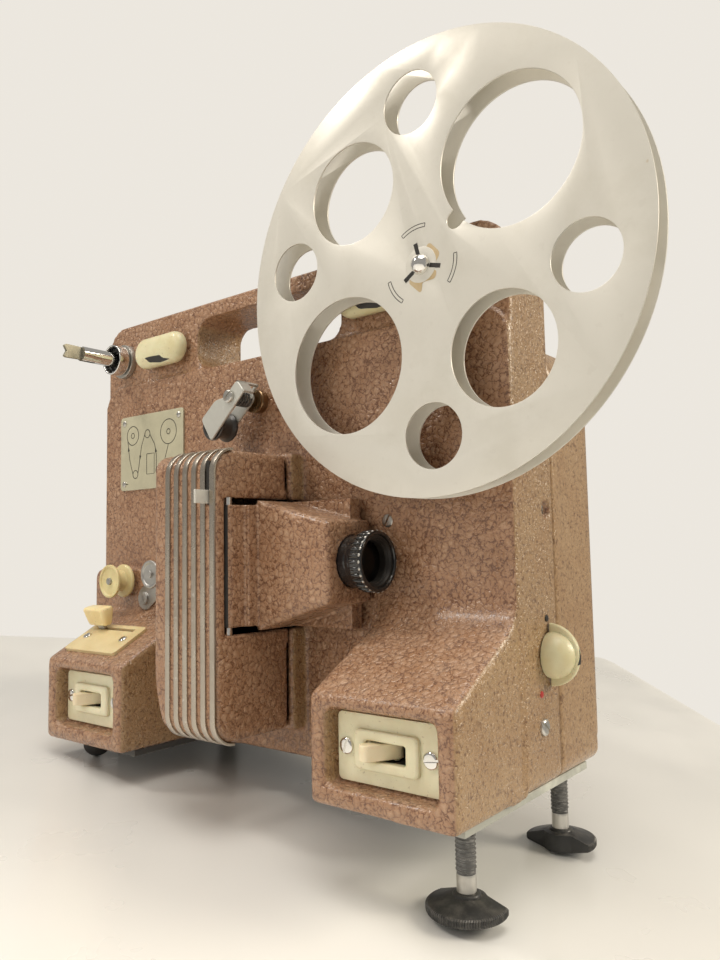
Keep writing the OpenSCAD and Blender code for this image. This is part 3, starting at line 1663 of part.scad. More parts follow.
module belt(p, pr, q, qr, y) {
  along_y(y - belt_w / 2, y + belt_w / 2)
    difference() {
      hull() {
        translate(p)
          circle(pr + clear + belt_t, $fn = hull_fn);
        translate(q)
          circle(qr + clear + belt_t, $fn = hull_fn);
      }
      hull() {
        translate(p)
          circle(pr + clear, $fn = hull_fn);
        translate(q)
          circle(qr + clear, $fn = hull_fn);
      }
    }
}

module drive_belts() {
  color(black) {
    belt([motor_x, motor_z], motor_groove_r, [takeup_x, spindle_z], takeup_groove_r, belt_a_y);
    belt([motor_x, motor_z], motor_groove_r, [main_x, main_z], main_groove_r, belt_b_y);
  }
}

module main_shaft() {
  color(steel) {
    rod_y(main_x, main_z, wall + clear, frame_y0 + frame_t + lap, main_r);
    rod_y(main_x, main_z, shutter_y - wheel_w, shutter_y + wheel_w, wheel_r);
    pulley(main_x, main_z, belt_b_y, main_groove_r, main_r - lap);
  }
}

// Frame that carries the main shaft and the shutter shaft
module mechanism_frame() {
  x0 = bearing_x0 - frame_side;
  x1 = bearing_x1 + bearing_w;
  z0 = lens_z - frame_down;
  z1 = main_z + frame_up;
  color(zinc)
    difference() {
      union() {
        block([x0, x1], [frame_y0, frame_y0 + frame_t], [z0, z1]);
        for (x = [bearing_x0, bearing_x1])
          block([x, x + bearing_w], [shutter_y - shutter_shaft_r * 3, frame_y0 + lap],
            [lens_z - bearing_h, lens_z + bearing_h]);
        for (x = [x0 + frame_post_in, x1 - frame_post_in])
          rod_y(x, z1 - frame_post_in, wall, frame_y0 + lap, frame_post_r);
      }
      rod_y(main_x, main_z, frame_y0 - lap, frame_y0 + frame_t + lap, main_r + fit);
      rod_x(bearing_x0 - lap, bearing_x1 + bearing_w + lap, shutter_y, lens_z, shutter_shaft_r + fit);
    }
}

// Shutter disc on its shaft, with the pinion that drives it
module shutter() {
  color(black) {
    rod_x(bearing_x0 - bearing_gap, shutter_x + shutter_t + lap, shutter_y, lens_z, shutter_shaft_r);
    rod_x(main_x - pinion_w / 2, main_x + pinion_w / 2, shutter_y, lens_z, pinion_r);
    translate([shutter_x, shutter_y, lens_z])
      rotate([0, 90, 0])
        linear_extrude(shutter_t)
          difference() {
            circle(shutter_r);
            for (i = [0, 1])
              rotate(i * 180 - shutter_open / 2)
                rotate_sector();
          }
  }
}

// One opening of the shutter, between a hub and a rim
module rotate_sector() {
  far = 2 * shutter_r;
  difference() {
    intersection() {
      circle(shutter_r + lap);
      polygon([[0, 0], [far, 0], [far * cos(shutter_open / 2), far * sin(shutter_open / 2)],
        [far * cos(shutter_open), far * sin(shutter_open)]]);
    }
    circle(shutter_hub_r);
  }
}

// Lamp, socket, reflector and condenser inside the lamp house
module lamp() {
  x = lamp_x - lamp_in;
  socket_z = lens_z - socket_drop;
  holder_x = x + bulb_r + condenser_gap;
  color(glass) {
    rod_z(x, lens_y, lens_z - bulb_h / 2, lens_z + bulb_h / 2, bulb_r);
    rod_z(x, lens_y, socket_z - lap, lens_z - bulb_h / 2 + lap, lamp_base_r);
    block([x - socket_w, x + socket_w], [lens_y - socket_w, 0], [socket_z - socket_h, socket_z]);
  }
  color(glass)
    difference() {
      block([holder_x, holder_x + condenser_t], [lens_y - condenser_r - condenser_rim, 0],
        [lens_z - condenser_r - condenser_rim, lens_z + condenser_r + condenser_rim]);
      rod_x(holder_x - lap, holder_x + condenser_t + lap, lens_y, lens_z, condenser_r);
    }
  color(glass)
    rod_x(holder_x + lap, holder_x + condenser_t - lap, lens_y, lens_z, condenser_r);
}

// Transformer on the floor of the rear cover, and the mains inlet above it
module supply() {
  color(black) {
    block([transformer_x1 - transformer_w, transformer_x1],
      [casting_d + transformer_gap, motor_y1],
      [wall, wall + transformer_h]);
    block([right_box_x, right_box_x + inlet_w], [motor_y1 - inlet_d, body_d + inlet_out],
      [inlet_z, inlet_z + inlet_h]);
  }
}

stand() front_casting();
stand() rear_cover();
stand() base_plate();
stand() lamp_house();
stand() lamp_house_trim();
stand() diagram_plate();
stand() switch_plate(left_switch_x);  // switch_plate_left
stand() switch_plate(right_switch_x);  // switch_plate_right
stand() switch_bodies();
stand() toggle(left_switch_x);  // toggle_left
stand() toggle(right_switch_x);  // toggle_right
stand() speed_plate();
stand() speed_lever();
stand() speed_lever_knob();
stand() speed_rail();
stand() oval_knob(oval_xs[0]);  // oval_knob_left
stand() oval_knob(oval_xs[1]);  // oval_knob_right
stand() oval_shaft(oval_xs[0]);  // oval_shaft_left
stand() oval_shaft(oval_xs[1]);  // oval_shaft_right
stand() side_knob();
stand() side_knob_shaft();
stand() index_dots();
stand() reel_flange(reel_y0);  // reel_front_flange
stand() reel_flange(-reel_gap - flange_t);  // reel_back_flange
stand() reel_core();
stand() reel_spindle();
stand() takeup_spindle();
stand() takeup_pulley();
stand() spindle_tip();
stand() spindle_bushes();
stand() framing_tab();
stand() lens_gate();
stand() hinge_pins();
stand() lens_barrel();
stand() focus_ring();
stand() lens_glass();
stand() aperture_plate();
stand() pressure_plate();
stand() guide_post();
stand() guide_arm();
stand() guide_roller();
stand() guide_spring();
stand() ivory_roller();
stand() lower_guide();
stand() lower_roller();
stand() foot_stop(foot_front_y);  // foot_stop_front
stand() foot_stop(foot_rear_y);  // foot_stop_rear
stand() foot(foot_front_y, 0);  // foot_front
stand() foot(foot_rear_y, 180);  // foot_rear
stand() foot_bushes();
stand() rubber_feet();
stand() screws();
stand() motor();
stand() motor_rotor();
stand() drive_belts();
stand() main_shaft();
stand() mechanism_frame();
stand() shutter();
stand() lamp();
stand() supply();
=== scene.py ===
import json
from math import atan2, cos, degrees, sin, pi, radians, sqrt
import bpy
import bmesh
from mathutils import Matrix, Vector


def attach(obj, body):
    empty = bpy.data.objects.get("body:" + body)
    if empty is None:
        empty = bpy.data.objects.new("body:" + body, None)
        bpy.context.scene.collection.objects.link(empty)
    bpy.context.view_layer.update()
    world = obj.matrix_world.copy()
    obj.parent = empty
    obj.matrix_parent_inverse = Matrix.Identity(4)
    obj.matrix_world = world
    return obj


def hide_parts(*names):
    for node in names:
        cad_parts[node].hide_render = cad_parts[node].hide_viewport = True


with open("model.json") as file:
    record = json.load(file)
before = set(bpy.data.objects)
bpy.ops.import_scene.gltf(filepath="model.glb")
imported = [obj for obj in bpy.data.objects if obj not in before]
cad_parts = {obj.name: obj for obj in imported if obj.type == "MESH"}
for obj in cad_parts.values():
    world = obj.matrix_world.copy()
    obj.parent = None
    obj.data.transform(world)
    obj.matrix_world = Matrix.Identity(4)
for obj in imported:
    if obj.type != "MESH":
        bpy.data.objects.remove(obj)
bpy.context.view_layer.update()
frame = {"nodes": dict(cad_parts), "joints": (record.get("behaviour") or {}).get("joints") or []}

scene = bpy.context.scene
cadNodes = frame["nodes"]
jointNamed = {j["name"]: j for j in frame["joints"]}

# pieces are drawn upright in millimetres, then tipped nose-up onto their feet
acrossAxis = Vector(jointNamed["speed_slide"]["axis"])
upAxis = Vector(jointNamed["framing_slide"]["axis"])
nosedUp = Matrix((acrossAxis, (0, 1, 0), upAxis)).transposed()
reelHub = Vector((102.5, -18, 198.5))
standAt = Vector(jointNamed["reel_turn"]["pos_m"]) - nosedUp @ (reelHub * 0.001)
standUp = Matrix.Translation(standAt) @ nosedUp.to_4x4() @ Matrix.Scale(0.001, 4)
layLevel = standUp.inverted()

photoView = dict(lens=29.61, place=(264.894, -263.114, 92.178), azimuth=38.3385, pitch=4.7718, roll=-1.0493)


def addCamera(look):
    azimuth, pitch, roll = (radians(look[k]) for k in ("azimuth", "pitch", "roll"))
    ahead = Vector((-sin(azimuth) * cos(pitch), cos(azimuth) * cos(pitch), sin(pitch)))
    right = Vector((cos(azimuth), sin(azimuth), 0))
    up = right.cross(ahead)
    right, up = right * cos(roll) + up * sin(roll), up * cos(roll) - right * sin(roll)
    turned = nosedUp @ Matrix((right, up, -ahead)).transposed()
    data = bpy.data.cameras.new("photoCamera")
    data.lens = look["lens"]
    data.sensor_width = 36
    data.clip_start = 0.01
    camera = bpy.data.objects.new("photoCamera", data)
    camera.matrix_world = Matrix.Translation(standUp @ Vector(look["place"])) @ turned.to_4x4()
    scene.collection.objects.link(camera)
    scene.camera = camera


addCamera(photoView)
print("camera set")


# shader building

def addNode(tree, kind, props=None, ins=None, **sockets):
    made = tree.nodes.new(kind)
    for key, value in (props or {}).items():
        setattr(made, key, value)
    for key, value in list(enumerate(ins or [])) + [(k.replace("_", " "), v) for k, v in sockets.items()]:
        if value is None:
            continue
        if isinstance(value, bpy.types.NodeSocket):
            tree.links.new(value, made.inputs[key])
        else:
            made.inputs[key].default_value = value
    return made


def shaderGroup(name, ins, outs):
    tree = bpy.data.node_groups.new(name, "ShaderNodeTree")
    for label, kind, value in ins:
        tree.interface.new_socket(label, in_out="INPUT",
                                  socket_type="NodeSocket" + kind).default_value = value
    for label, kind in outs:
        tree.interface.new_socket(label, in_out="OUTPUT", socket_type="NodeSocket" + kind)
    return tree, tree.nodes.new("NodeGroupInput").outputs, tree.nodes.new("NodeGroupOutput").inputs


def span(tree, value, low, high, toLow=0.0, toHigh=1.0):
    return addNode(tree, "ShaderNodeMapRange", dict(interpolation_type="SMOOTHSTEP"),
                   ins=[value, low, high, toLow, toHigh]).outputs[0]


def maths(tree, what, a, b=0.5):
    return addNode(tree, "ShaderNodeMath", dict(operation=what), ins=[a, b]).outputs[0]


def times(tree, a, b):
    return maths(tree, "MULTIPLY", a, b)


def blendColour(tree, how, amount, a, b):
    made = addNode(tree, "ShaderNodeMix", dict(data_type="RGBA", blend_type=how))
    for index, value in ((0, amount), (6, a), (7, b)):
        if isinstance(value, bpy.types.NodeSocket):
            tree.links.new(value, made.inputs[index])
        else:
            made.inputs[index].default_value = value
    return made.outputs[2]


def noise(tree, where, scale, detail=3.0, rough=0.55):
    return addNode(tree, "ShaderNodeTexNoise", Vector=where, Scale=scale, Detail=detail,
                   Roughness=rough).outputs["Fac"]


def objectPlace(tree, stretch=(1, 1, 1)):
    spot = addNode(tree, "ShaderNodeTexCoord").outputs["Object"]
    if stretch == (1, 1, 1):
        return spot
    return addNode(tree, "ShaderNodeMapping", Vector=spot, Scale=stretch).outputs[0]


def hammerGroup():
    # drawn-out paint: soft pale pebbles parted by wandering, broken veins, with a painted highlight
    # lightening each pebble's crown toward the glint colour
    tree, given, out = shaderGroup(
        "hammeredPaint",
        [("Cells", "Float", 440.0), ("Vein", "Float", 0.17), ("Broken", "Float", 0.45),
         ("Dome", "Color", (0.42, 0.255, 0.15, 1)), ("Glint", "Color", (0.6, 0.42, 0.29, 1)),
         ("Gap", "Color", (0.1, 0.045, 0.022, 1))],
        [("Color", "Color"), ("Height", "Float"), ("Rough", "Float")])
    spot = objectPlace(tree)
    broad = addNode(tree, "ShaderNodeTexNoise", Vector=spot, Scale=230.0, Detail=1.0).outputs["Color"]
    fine = addNode(tree, "ShaderNodeTexNoise", Vector=spot, Scale=900.0, Detail=1.0).outputs["Color"]
    moved = addNode(tree, "ShaderNodeVectorMath", dict(operation="MULTIPLY_ADD"),
                    ins=[broad, (0.0022, 0.0022, 0.0022), spot]).outputs[0]
    moved = addNode(tree, "ShaderNodeVectorMath", dict(operation="MULTIPLY_ADD"),
                    ins=[fine, (0.0021, 0.0021, 0.0021), moved]).outputs[0]
    edge = addNode(tree, "ShaderNodeTexVoronoi", dict(feature="DISTANCE_TO_EDGE"),
                   Vector=moved, Scale=given["Cells"]).outputs["Distance"]
    cell = addNode(tree, "ShaderNodeTexVoronoi", dict(feature="SMOOTH_F1"),
                   Vector=moved, Scale=given["Cells"])
    patch = noise(tree, spot, 55.0, 2.0)
    thick = times(tree, given["Vein"], span(tree, noise(tree, spot, 300.0, 2.0), 0.3, 0.7, 0.35, 1.5))
    vein = span(tree, edge, 0.0, thick, 1.0, 0.0)
    kept = span(tree, noise(tree, spot, 620.0, 1.0), maths(tree, "SUBTRACT", given["Broken"], 0.12),
                maths(tree, "ADD", given["Broken"], 0.12), 0.1, 1.0)
    vein = times(tree, vein, kept)
    tone = addNode(tree, "ShaderNodeSeparateColor", Color=cell.outputs["Color"]).outputs[0]
    # painted highlight: the crown of each pebble, away from the veins, is mixed toward the glint colour
    crown = span(tree, edge, 0.08, 0.5)
    lit = times(tree, crown, span(tree, tone, 0.2, 1.0, 0.1, 0.8))
    colour = blendColour(tree, "MIX", lit, given["Dome"], given["Glint"])
    colour = blendColour(tree, "MULTIPLY", span(tree, patch, 0.35, 0.7, 0.0, 0.5), colour,
                         (0.82, 0.72, 0.62, 1))
    colour = blendColour(tree, "MIX", times(tree, vein, 0.9), colour, given["Gap"])
    tree.links.new(colour, out["Color"])
    tree.links.new(span(tree, edge, 0.0, 0.5), out["Height"])
    tree.links.new(span(tree, tone, 0.0, 1.0, 0.24, 0.38), out["Rough"])
    return tree


def scuffGroup():
    # fine scratches along one way, with wider rubbed patches
    tree, given, out = shaderGroup(
        "handledScuffs", [("Scale", "Float", 300.0), ("Scratch", "Float", 0.5), ("Patch", "Float", 0.5)],
        [("Mask", "Float"), ("Smudge", "Float")])
    spot = objectPlace(tree)
    long1 = addNode(tree, "ShaderNodeMapping", Vector=spot, Rotation=(0.3, 0.5, 0.2),
                    Scale=(1, 14, 1)).outputs[0]
    long2 = addNode(tree, "ShaderNodeMapping", Vector=spot, Rotation=(0.1, -0.7, 0.9),
                    Scale=(12, 1, 1)).outputs[0]
    fine = maths(tree, "MAXIMUM", span(tree, noise(tree, long1, given["Scale"], 2.0), 0.64, 0.74),
                 span(tree, noise(tree, long2, given["Scale"], 2.0), 0.65, 0.75))
    broad = span(tree, noise(tree, spot, 45.0, 4.0, 0.65), 0.42, 0.72)
    tree.links.new(times(tree, fine, given["Scratch"]), out["Mask"])
    tree.links.new(times(tree, broad, given["Patch"]), out["Smudge"])
    return tree


def rubbedEdgeGroup():
    # where a rounded normal leaves the flat one there is an edge, broken up by noise
    tree, given, out = shaderGroup("rubbedEdges", [("Reach", "Float", 0.0006), ("Amount", "Float", 1.0)],
                                   [("Mask", "Float")])
    rounded = addNode(tree, "ShaderNodeBevel", dict(samples=4), Radius=given["Reach"]).outputs[0]
    flat = addNode(tree, "ShaderNodeNewGeometry").outputs["Normal"]
    same = addNode(tree, "ShaderNodeVectorMath", dict(operation="DOT_PRODUCT"),
                   ins=[rounded, flat]).outputs["Value"]
    edge = span(tree, same, 0.985, 0.86)
    broken = span(tree, noise(tree, objectPlace(tree), 520.0, 3.0), 0.38, 0.62)
    tree.links.new(times(tree, times(tree, edge, broken), given["Amount"]), out["Mask"])
    return tree


def dustGroup():
    # dust settles on what faces up
    tree, given, out = shaderGroup("settledDust", [("Amount", "Float", 0.3)], [("Mask", "Float")])
    normal = addNode(tree, "ShaderNodeNewGeometry").outputs["Normal"]
    upward = addNode(tree, "ShaderNodeSeparateXYZ", Vector=normal).outputs["Z"]
    grain = span(tree, noise(tree, objectPlace(tree), 150.0, 5.0, 0.7), 0.35, 0.75)
    tree.links.new(times(tree, times(tree, span(tree, upward, 0.2, 1.0), grain),
                         given["Amount"]), out["Mask"])
    return tree


hammeredPaint = hammerGroup()
handledScuffs = scuffGroup()
rubbedEdges = rubbedEdgeGroup()
settledDust = dustGroup()


def placeGroup(tree, group, **values):
    made = addNode(tree, "ShaderNodeGroup", dict(node_tree=group))
    for key, value in values.items():
        made.inputs[key].default_value = value
    return made.outputs


def newFinish(name, **sockets):
    material = bpy.data.materials.new(name)
    material.use_nodes = True
    tree = material.node_tree
    tree.nodes.clear()
    surface = addNode(tree, "ShaderNodeBsdfPrincipled")
    for key, value in sockets.items():
        surface.inputs[key.replace("_", " ")].default_value = value
    addNode(tree, "ShaderNodeOutputMaterial", Surface=surface.outputs[0])
    return material, tree, surface.inputs


def dress(tree, into, colour, rough, normal):
    for label, value in (("Base Color", colour), ("Roughness", rough), ("Normal", normal)):
        tree.links.new(value, into[label])


def bumpFrom(tree, height, strength, distance):
    return addNode(tree, "ShaderNodeBump", Height=height, Strength=strength, Distance=distance).outputs[0]


hammerLook = dict(cells=350.0, vein=0.115, broken=0.4, dome=(0.385, 0.22, 0.127, 1),
                  glint=(0.55, 0.36, 0.235, 1), gap=(0.11, 0.04, 0.018, 1), relief=0.7)
sandLook = dict(cells=470.0, vein=0.2, broken=0.57, dome=(0.40, 0.257, 0.132, 1),
                glint=(0.47, 0.315, 0.175, 1), gap=(0.13, 0.058, 0.023, 1), relief=0.3)


def paintLook(tree, look):
    return placeGroup(tree, hammeredPaint, Cells=look["cells"], Vein=look["vein"], Broken=look["broken"],
                      Dome=look["dome"], Glint=look["glint"], Gap=look["gap"])


def hammeredFinish(name, look, sides=None):
    # the sides can carry a finer spray than the front; where the faces turn across, its warmer tone is partly
    # painted light, standing in for the warm light falling on the sides
    material, tree, into = newFinish(name, Coat_Weight=0.2, Coat_Roughness=0.25, IOR=1.6)
    paint = paintLook(tree, look)
    colour, height, rough = paint["Color"], paint["Height"], paint["Rough"]
    if sides:
        sprayAndSideLight = paintLook(tree, sides)
        normal = addNode(tree, "ShaderNodeNewGeometry").outputs["Normal"]
        across = addNode(tree, "ShaderNodeVectorMath", dict(operation="DOT_PRODUCT"),
                         ins=[normal, acrossAxis[:]])
        side = span(tree, maths(tree, "ABSOLUTE", across.outputs["Value"]), 0.62, 0.9)
        # partly painted light: faces turned across take the warmer side paint
        colour = blendColour(tree, "MIX", side, colour, sprayAndSideLight["Color"])
        height = addNode(tree, "ShaderNodeMix", ins=[side, None, height, sprayAndSideLight["Height"]]).outputs[0]
    dust = placeGroup(tree, settledDust, Amount=0.16)
    colour = blendColour(tree, "MIX", dust["Mask"], colour, (0.62, 0.52, 0.42, 1))
    dress(tree, into, colour, rough, bumpFrom(tree, height, look["relief"], 0.0005))
    return material


def mouldedFinish(name, pale, deep, rough=0.34, grime=0.35):
    # old cream and ivory mouldings: mottled, yellowed, softly glossy
    material, tree, into = newFinish(name, Subsurface_Weight=0.08, Subsurface_Scale=0.002, Coat_Weight=0.12)
    spot = objectPlace(tree)
    cloud = span(tree, noise(tree, spot, 70.0, 4.0, 0.6), 0.3, 0.75)
    scuffs = placeGroup(tree, handledScuffs, Scale=420.0, Scratch=0.4, Patch=0.6)
    colour = blendColour(tree, "MIX", cloud, pale, deep)
    speck = span(tree, noise(tree, spot, 900.0, 1.0), 0.68, 0.78, 0.0, grime)
    colour = blendColour(tree, "MIX", speck, colour, (0.2, 0.13, 0.06, 1))
    colour = blendColour(tree, "MIX", times(tree, scuffs["Mask"], 0.25), colour, (0.8, 0.76, 0.62, 1))
    worn = maths(tree, "ADD", times(tree, scuffs["Smudge"], 0.25), rough)
    dress(tree, into, colour, worn, bumpFrom(tree, noise(tree, spot, 260.0, 3.0), 0.12, 0.0003))
    return material


def metalFinish(name, pale, dull, rough=0.3, scratch=0.5, tarnish=0.5, grain=0.08, metallic=1.0):
    material, tree, into = newFinish(name, Metallic=metallic)
    scuffs = placeGroup(tree, handledScuffs, Scale=330.0, Scratch=scratch, Patch=tarnish)
    colour = blendColour(tree, "MIX", scuffs["Smudge"], pale, dull)
    colour = blendColour(tree, "MIX", times(tree, scuffs["Mask"], 0.6), colour, (0.9, 0.88, 0.85, 1))
    worn = maths(tree, "ADD", times(tree, scuffs["Smudge"], 0.22), rough)
    worn = maths(tree, "SUBTRACT", worn, times(tree, scuffs["Mask"], 0.1))
    brushed = noise(tree, objectPlace(tree, (1, 9, 1)), 900.0, 2.0)
    dress(tree, into, colour, worn, bumpFrom(tree, brushed, grain, 0.0002))
    return material


def enamelFinish(name, colour, bare, rough=0.22, rub=0.9, reach=0.0005, coat=0.3, bump=0.05):
    # dark enamel or plastic, rubbed through to something paler along its edges
    material, tree, into = newFinish(name, Coat_Weight=coat, Coat_Roughness=0.1)
    spot = objectPlace(tree)
    rubbed = placeGroup(tree, rubbedEdges, Reach=reach, Amount=rub)
    dust = placeGroup(tree, settledDust, Amount=0.22)
    scuffs = placeGroup(tree, handledScuffs, Scale=380.0, Scratch=0.5, Patch=0.7)
    base = blendColour(tree, "MIX", scuffs["Smudge"], colour,
                       tuple(c * 1.9 + 0.01 for c in colour[:3]) + (1,))
    base = blendColour(tree, "MIX", dust["Mask"], base, (0.35, 0.32, 0.27, 1))
    base = blendColour(tree, "MIX", rubbed["Mask"], base, bare)
    worn = maths(tree, "ADD", times(tree, scuffs["Smudge"], 0.25), rough)
    dress(tree, into, base, worn, bumpFrom(tree, noise(tree, spot, 700.0, 2.0), bump, 0.0003))
    return material


def reelFinish(name):
    # satin aluminium gone off-white, with handling marks and a few tan spots
    material, tree, into = newFinish(name, Metallic=0.25)
    spot = objectPlace(tree)
    scuffs = placeGroup(tree, handledScuffs, Scale=260.0, Scratch=0.55, Patch=0.6)
    colour = blendColour(tree, "MIX", scuffs["Smudge"], (0.72, 0.695, 0.625, 1), (0.635, 0.61, 0.535, 1))
    colour = blendColour(tree, "MIX", times(tree, scuffs["Mask"], 0.5), colour, (0.63, 0.60, 0.53, 1))
    spots = span(tree, noise(tree, spot, 170.0, 2.0, 0.4), 0.755, 0.79, 0.0, 0.6)
    colour = blendColour(tree, "MIX", spots, colour, (0.55, 0.45, 0.3, 1))
    worn = maths(tree, "ADD", times(tree, scuffs["Smudge"], 0.18), 0.34)
    dress(tree, into, colour, worn, bumpFrom(tree, noise(tree, spot, 700.0, 2.0), 0.06, 0.0002))
    return material


def printFinish(name, ground, edge):
    # lacquered plate: even ground with worn corners and faint blotches
    material, tree, into = newFinish(name, Coat_Weight=0.3, Coat_Roughness=0.2)
    spot = objectPlace(tree)
    rubbed = placeGroup(tree, rubbedEdges, Reach=0.0006, Amount=0.8)
    cloud = span(tree, noise(tree, spot, 90.0, 4.0, 0.65), 0.35, 0.75, 0.0, 0.7)
    colour = blendColour(tree, "MIX", cloud, ground, tuple(c * 0.82 for c in ground[:3]) + (1,))
    colour = blendColour(tree, "MIX", rubbed["Mask"], colour, edge)
    worn = span(tree, noise(tree, spot, 60.0, 3.0), 0.3, 0.7, 0.28, 0.42)
    dress(tree, into, colour, worn, bumpFrom(tree, noise(tree, spot, 500.0, 2.0), 0.06, 0.0002))
    return material


def glassFinish(name):
    material, tree, into = newFinish(name, Base_Color=(0.3, 0.31, 0.32, 1), Transmission_Weight=1.0, IOR=1.2)
    film = span(tree, noise(tree, objectPlace(tree), 160.0, 4.0, 0.65), 0.4, 0.8, 0.015, 0.12)
    tree.links.new(film, into["Roughness"])
    tree.links.new(bumpFrom(tree, noise(tree, objectPlace(tree), 300.0, 2.0), 0.01, 0.0002), into["Normal"])
    return material


finishes = dict(
    hammertone=hammeredFinish("hammertone", hammerLook),
    casting=hammeredFinish("castingPaint", hammerLook, sandLook),
    sand=hammeredFinish("coverPaint", sandLook),
    ivory=mouldedFinish("ivory", (0.735, 0.69, 0.45, 1), (0.64, 0.565, 0.32, 1)),
    amber=mouldedFinish("amberIvory", (0.74, 0.65, 0.35, 1), (0.62, 0.50, 0.23, 1)),
    honey=mouldedFinish("honeyIvory", (0.90, 0.76, 0.43, 1), (0.82, 0.66, 0.33, 1)),
    cream=mouldedFinish("cream", (0.78, 0.74, 0.53, 1), (0.69, 0.63, 0.42, 1), 0.4),
    straw=mouldedFinish("strawPlate", (0.72, 0.60, 0.34, 1), (0.62, 0.49, 0.25, 1), 0.38),
    peach=mouldedFinish("peachToggle", (0.88, 0.77, 0.55, 1), (0.80, 0.68, 0.45, 1), 0.4),
    reel=reelFinish("reelAluminium"),
    trim=metalFinish("trimAluminium", (0.50, 0.45, 0.385, 1), (0.38, 0.335, 0.28, 1), 0.26, 0.5, 0.6, 0.12),
    chrome=metalFinish("chrome", (0.82, 0.81, 0.79, 1), (0.70, 0.68, 0.64, 1), 0.1, 0.3, 0.4, 0.02),
    zinc=metalFinish("zinc", (0.60, 0.585, 0.55, 1), (0.42, 0.40, 0.36, 1), 0.34, 0.5, 0.7, 0.12),
    satin=metalFinish("satinSteel", (0.50, 0.49, 0.47, 1), (0.36, 0.35, 0.33, 1), 0.4, 0.4, 0.6, 0.15),
    dull=metalFinish("dullZinc", (0.60, 0.60, 0.55, 1), (0.47, 0.47, 0.42, 1), 0.42, 0.4, 0.6, 0.12, 0.35),
    olive=metalFinish("dullTip", (0.30, 0.28, 0.21, 1), (0.20, 0.185, 0.13, 1), 0.46, 0.4, 0.7, 0.12, 0.6),
    bronze=metalFinish("bronzePost", (0.36, 0.25, 0.14, 1), (0.18, 0.11, 0.06, 1), 0.25, 0.4, 0.7, 0.06),
    brass=metalFinish("brassBush", (0.62, 0.48, 0.24, 1), (0.40, 0.30, 0.15, 1), 0.32, 0.4, 0.6, 0.08),
    machine=metalFinish("machinedSteel", (0.46, 0.45, 0.44, 1), (0.24, 0.22, 0.2, 1), 0.42, 0.4, 0.8, 0.12),
    enamel=enamelFinish("blackEnamel", (0.008, 0.008, 0.009, 1), (0.4, 0.35, 0.27, 1),
                        0.14, 0.7, 0.0003, 0.5),
    bakelite=enamelFinish("blackMoulding", (0.022, 0.022, 0.022, 1), (0.16, 0.15, 0.13, 1),
                          0.4, 0.7, 0.0007, 0.1, 0.15),
    darkSteel=enamelFinish("darkSteel", (0.05, 0.048, 0.045, 1), (0.5, 0.48, 0.44, 1),
                           0.32, 0.9, 0.0006, 0.1, 0.1),
    rubber=enamelFinish("rubber", (0.02, 0.019, 0.018, 1), (0.07, 0.065, 0.06, 1),
                        0.62, 0.5, 0.0008, 0.0, 0.25),
    thread=enamelFinish("threadSteel", (0.085, 0.085, 0.083, 1), (0.42, 0.41, 0.39, 1),
                        0.4, 0.8, 0.0004, 0.0, 0.1),
    basePaint=enamelFinish("baseGrey", (0.42, 0.43, 0.38, 1), (0.62, 0.6, 0.55, 1),
                           0.45, 0.6, 0.0006, 0.05, 0.12),
    plate=printFinish("printedPlate", (0.50, 0.47, 0.33, 1), (0.60, 0.57, 0.46, 1)),
    # black ink for print, also laid on as painted shade in the framing slot, the hinge gap, the lens and the
    # reel slots
    inkAndShade=enamelFinish("inkAndShade", (0.018, 0.016, 0.014, 1), (0.06, 0.055, 0.05, 1), 0.45, 0.3, 0.0002, 0.0, 0.03),
    red=enamelFinish("redPaint", (0.42, 0.03, 0.022, 1), (0.5, 0.12, 0.09, 1), 0.35, 0.4, 0.0004, 0.2, 0.06),
    residue=mouldedFinish("oldGlue", (0.60, 0.47, 0.29, 1), (0.48, 0.34, 0.18, 1), 0.55),
    glass=glassFinish("lensGlass"))
print("finishes made:", len(finishes))


# mesh building

def toMesh(bm, name="work", outward=True):
    if outward:
        bmesh.ops.recalc_face_normals(bm, faces=bm.faces[:])
    mesh = bpy.data.meshes.new(name)
    bm.to_mesh(mesh)
    bm.free()
    return mesh


def evaluatedMesh(block):
    depsgraph = bpy.context.evaluated_depsgraph_get()
    depsgraph.update()
    return bpy.data.meshes.new_from_object(block.evaluated_get(depsgraph))


def workObject(mesh):
    block = bpy.data.objects.new("work", mesh)
    scene.collection.objects.link(block)
    return block


def place(name, mesh, body, finish, stands=(), sharp=34):
    mesh.name = name
    mesh.transform(standUp)
    mesh.shade_smooth()
    mesh.set_sharp_from_angle(angle=radians(sharp))
    if not mesh.materials:
        mesh.materials.append(finishes[finish])
    piece = bpy.data.objects.new(name, mesh)
    scene.collection.objects.link(piece)
    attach(piece, body)
    if stands:
        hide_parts(*stands)
    return piece


def cadForm(node):
    bm = bmesh.new()
    bm.from_mesh(cadNodes[node].data)
    bmesh.ops.remove_doubles(bm, verts=bm.verts[:], dist=2e-6)
    bm.transform(layLevel)
    return bm


def addBox(bm, middle, size):
    bmesh.ops.create_cube(bm, size=1, matrix=Matrix.Translation(middle) @ Matrix.Diagonal((*size, 1)))


def cutBox(mesh, middle, size):
    # the mesh with a box taken out of it
    block = workObject(mesh)
    bm = bmesh.new()
    addBox(bm, middle, size)
    cutter = workObject(toMesh(bm))
    cut = block.modifiers.new("slot", "BOOLEAN")
    cut.operation = "DIFFERENCE"
    cut.object = cutter
    mesh = evaluatedMesh(block)
    bpy.data.objects.remove(block)
    bpy.data.objects.remove(cutter)
    return mesh


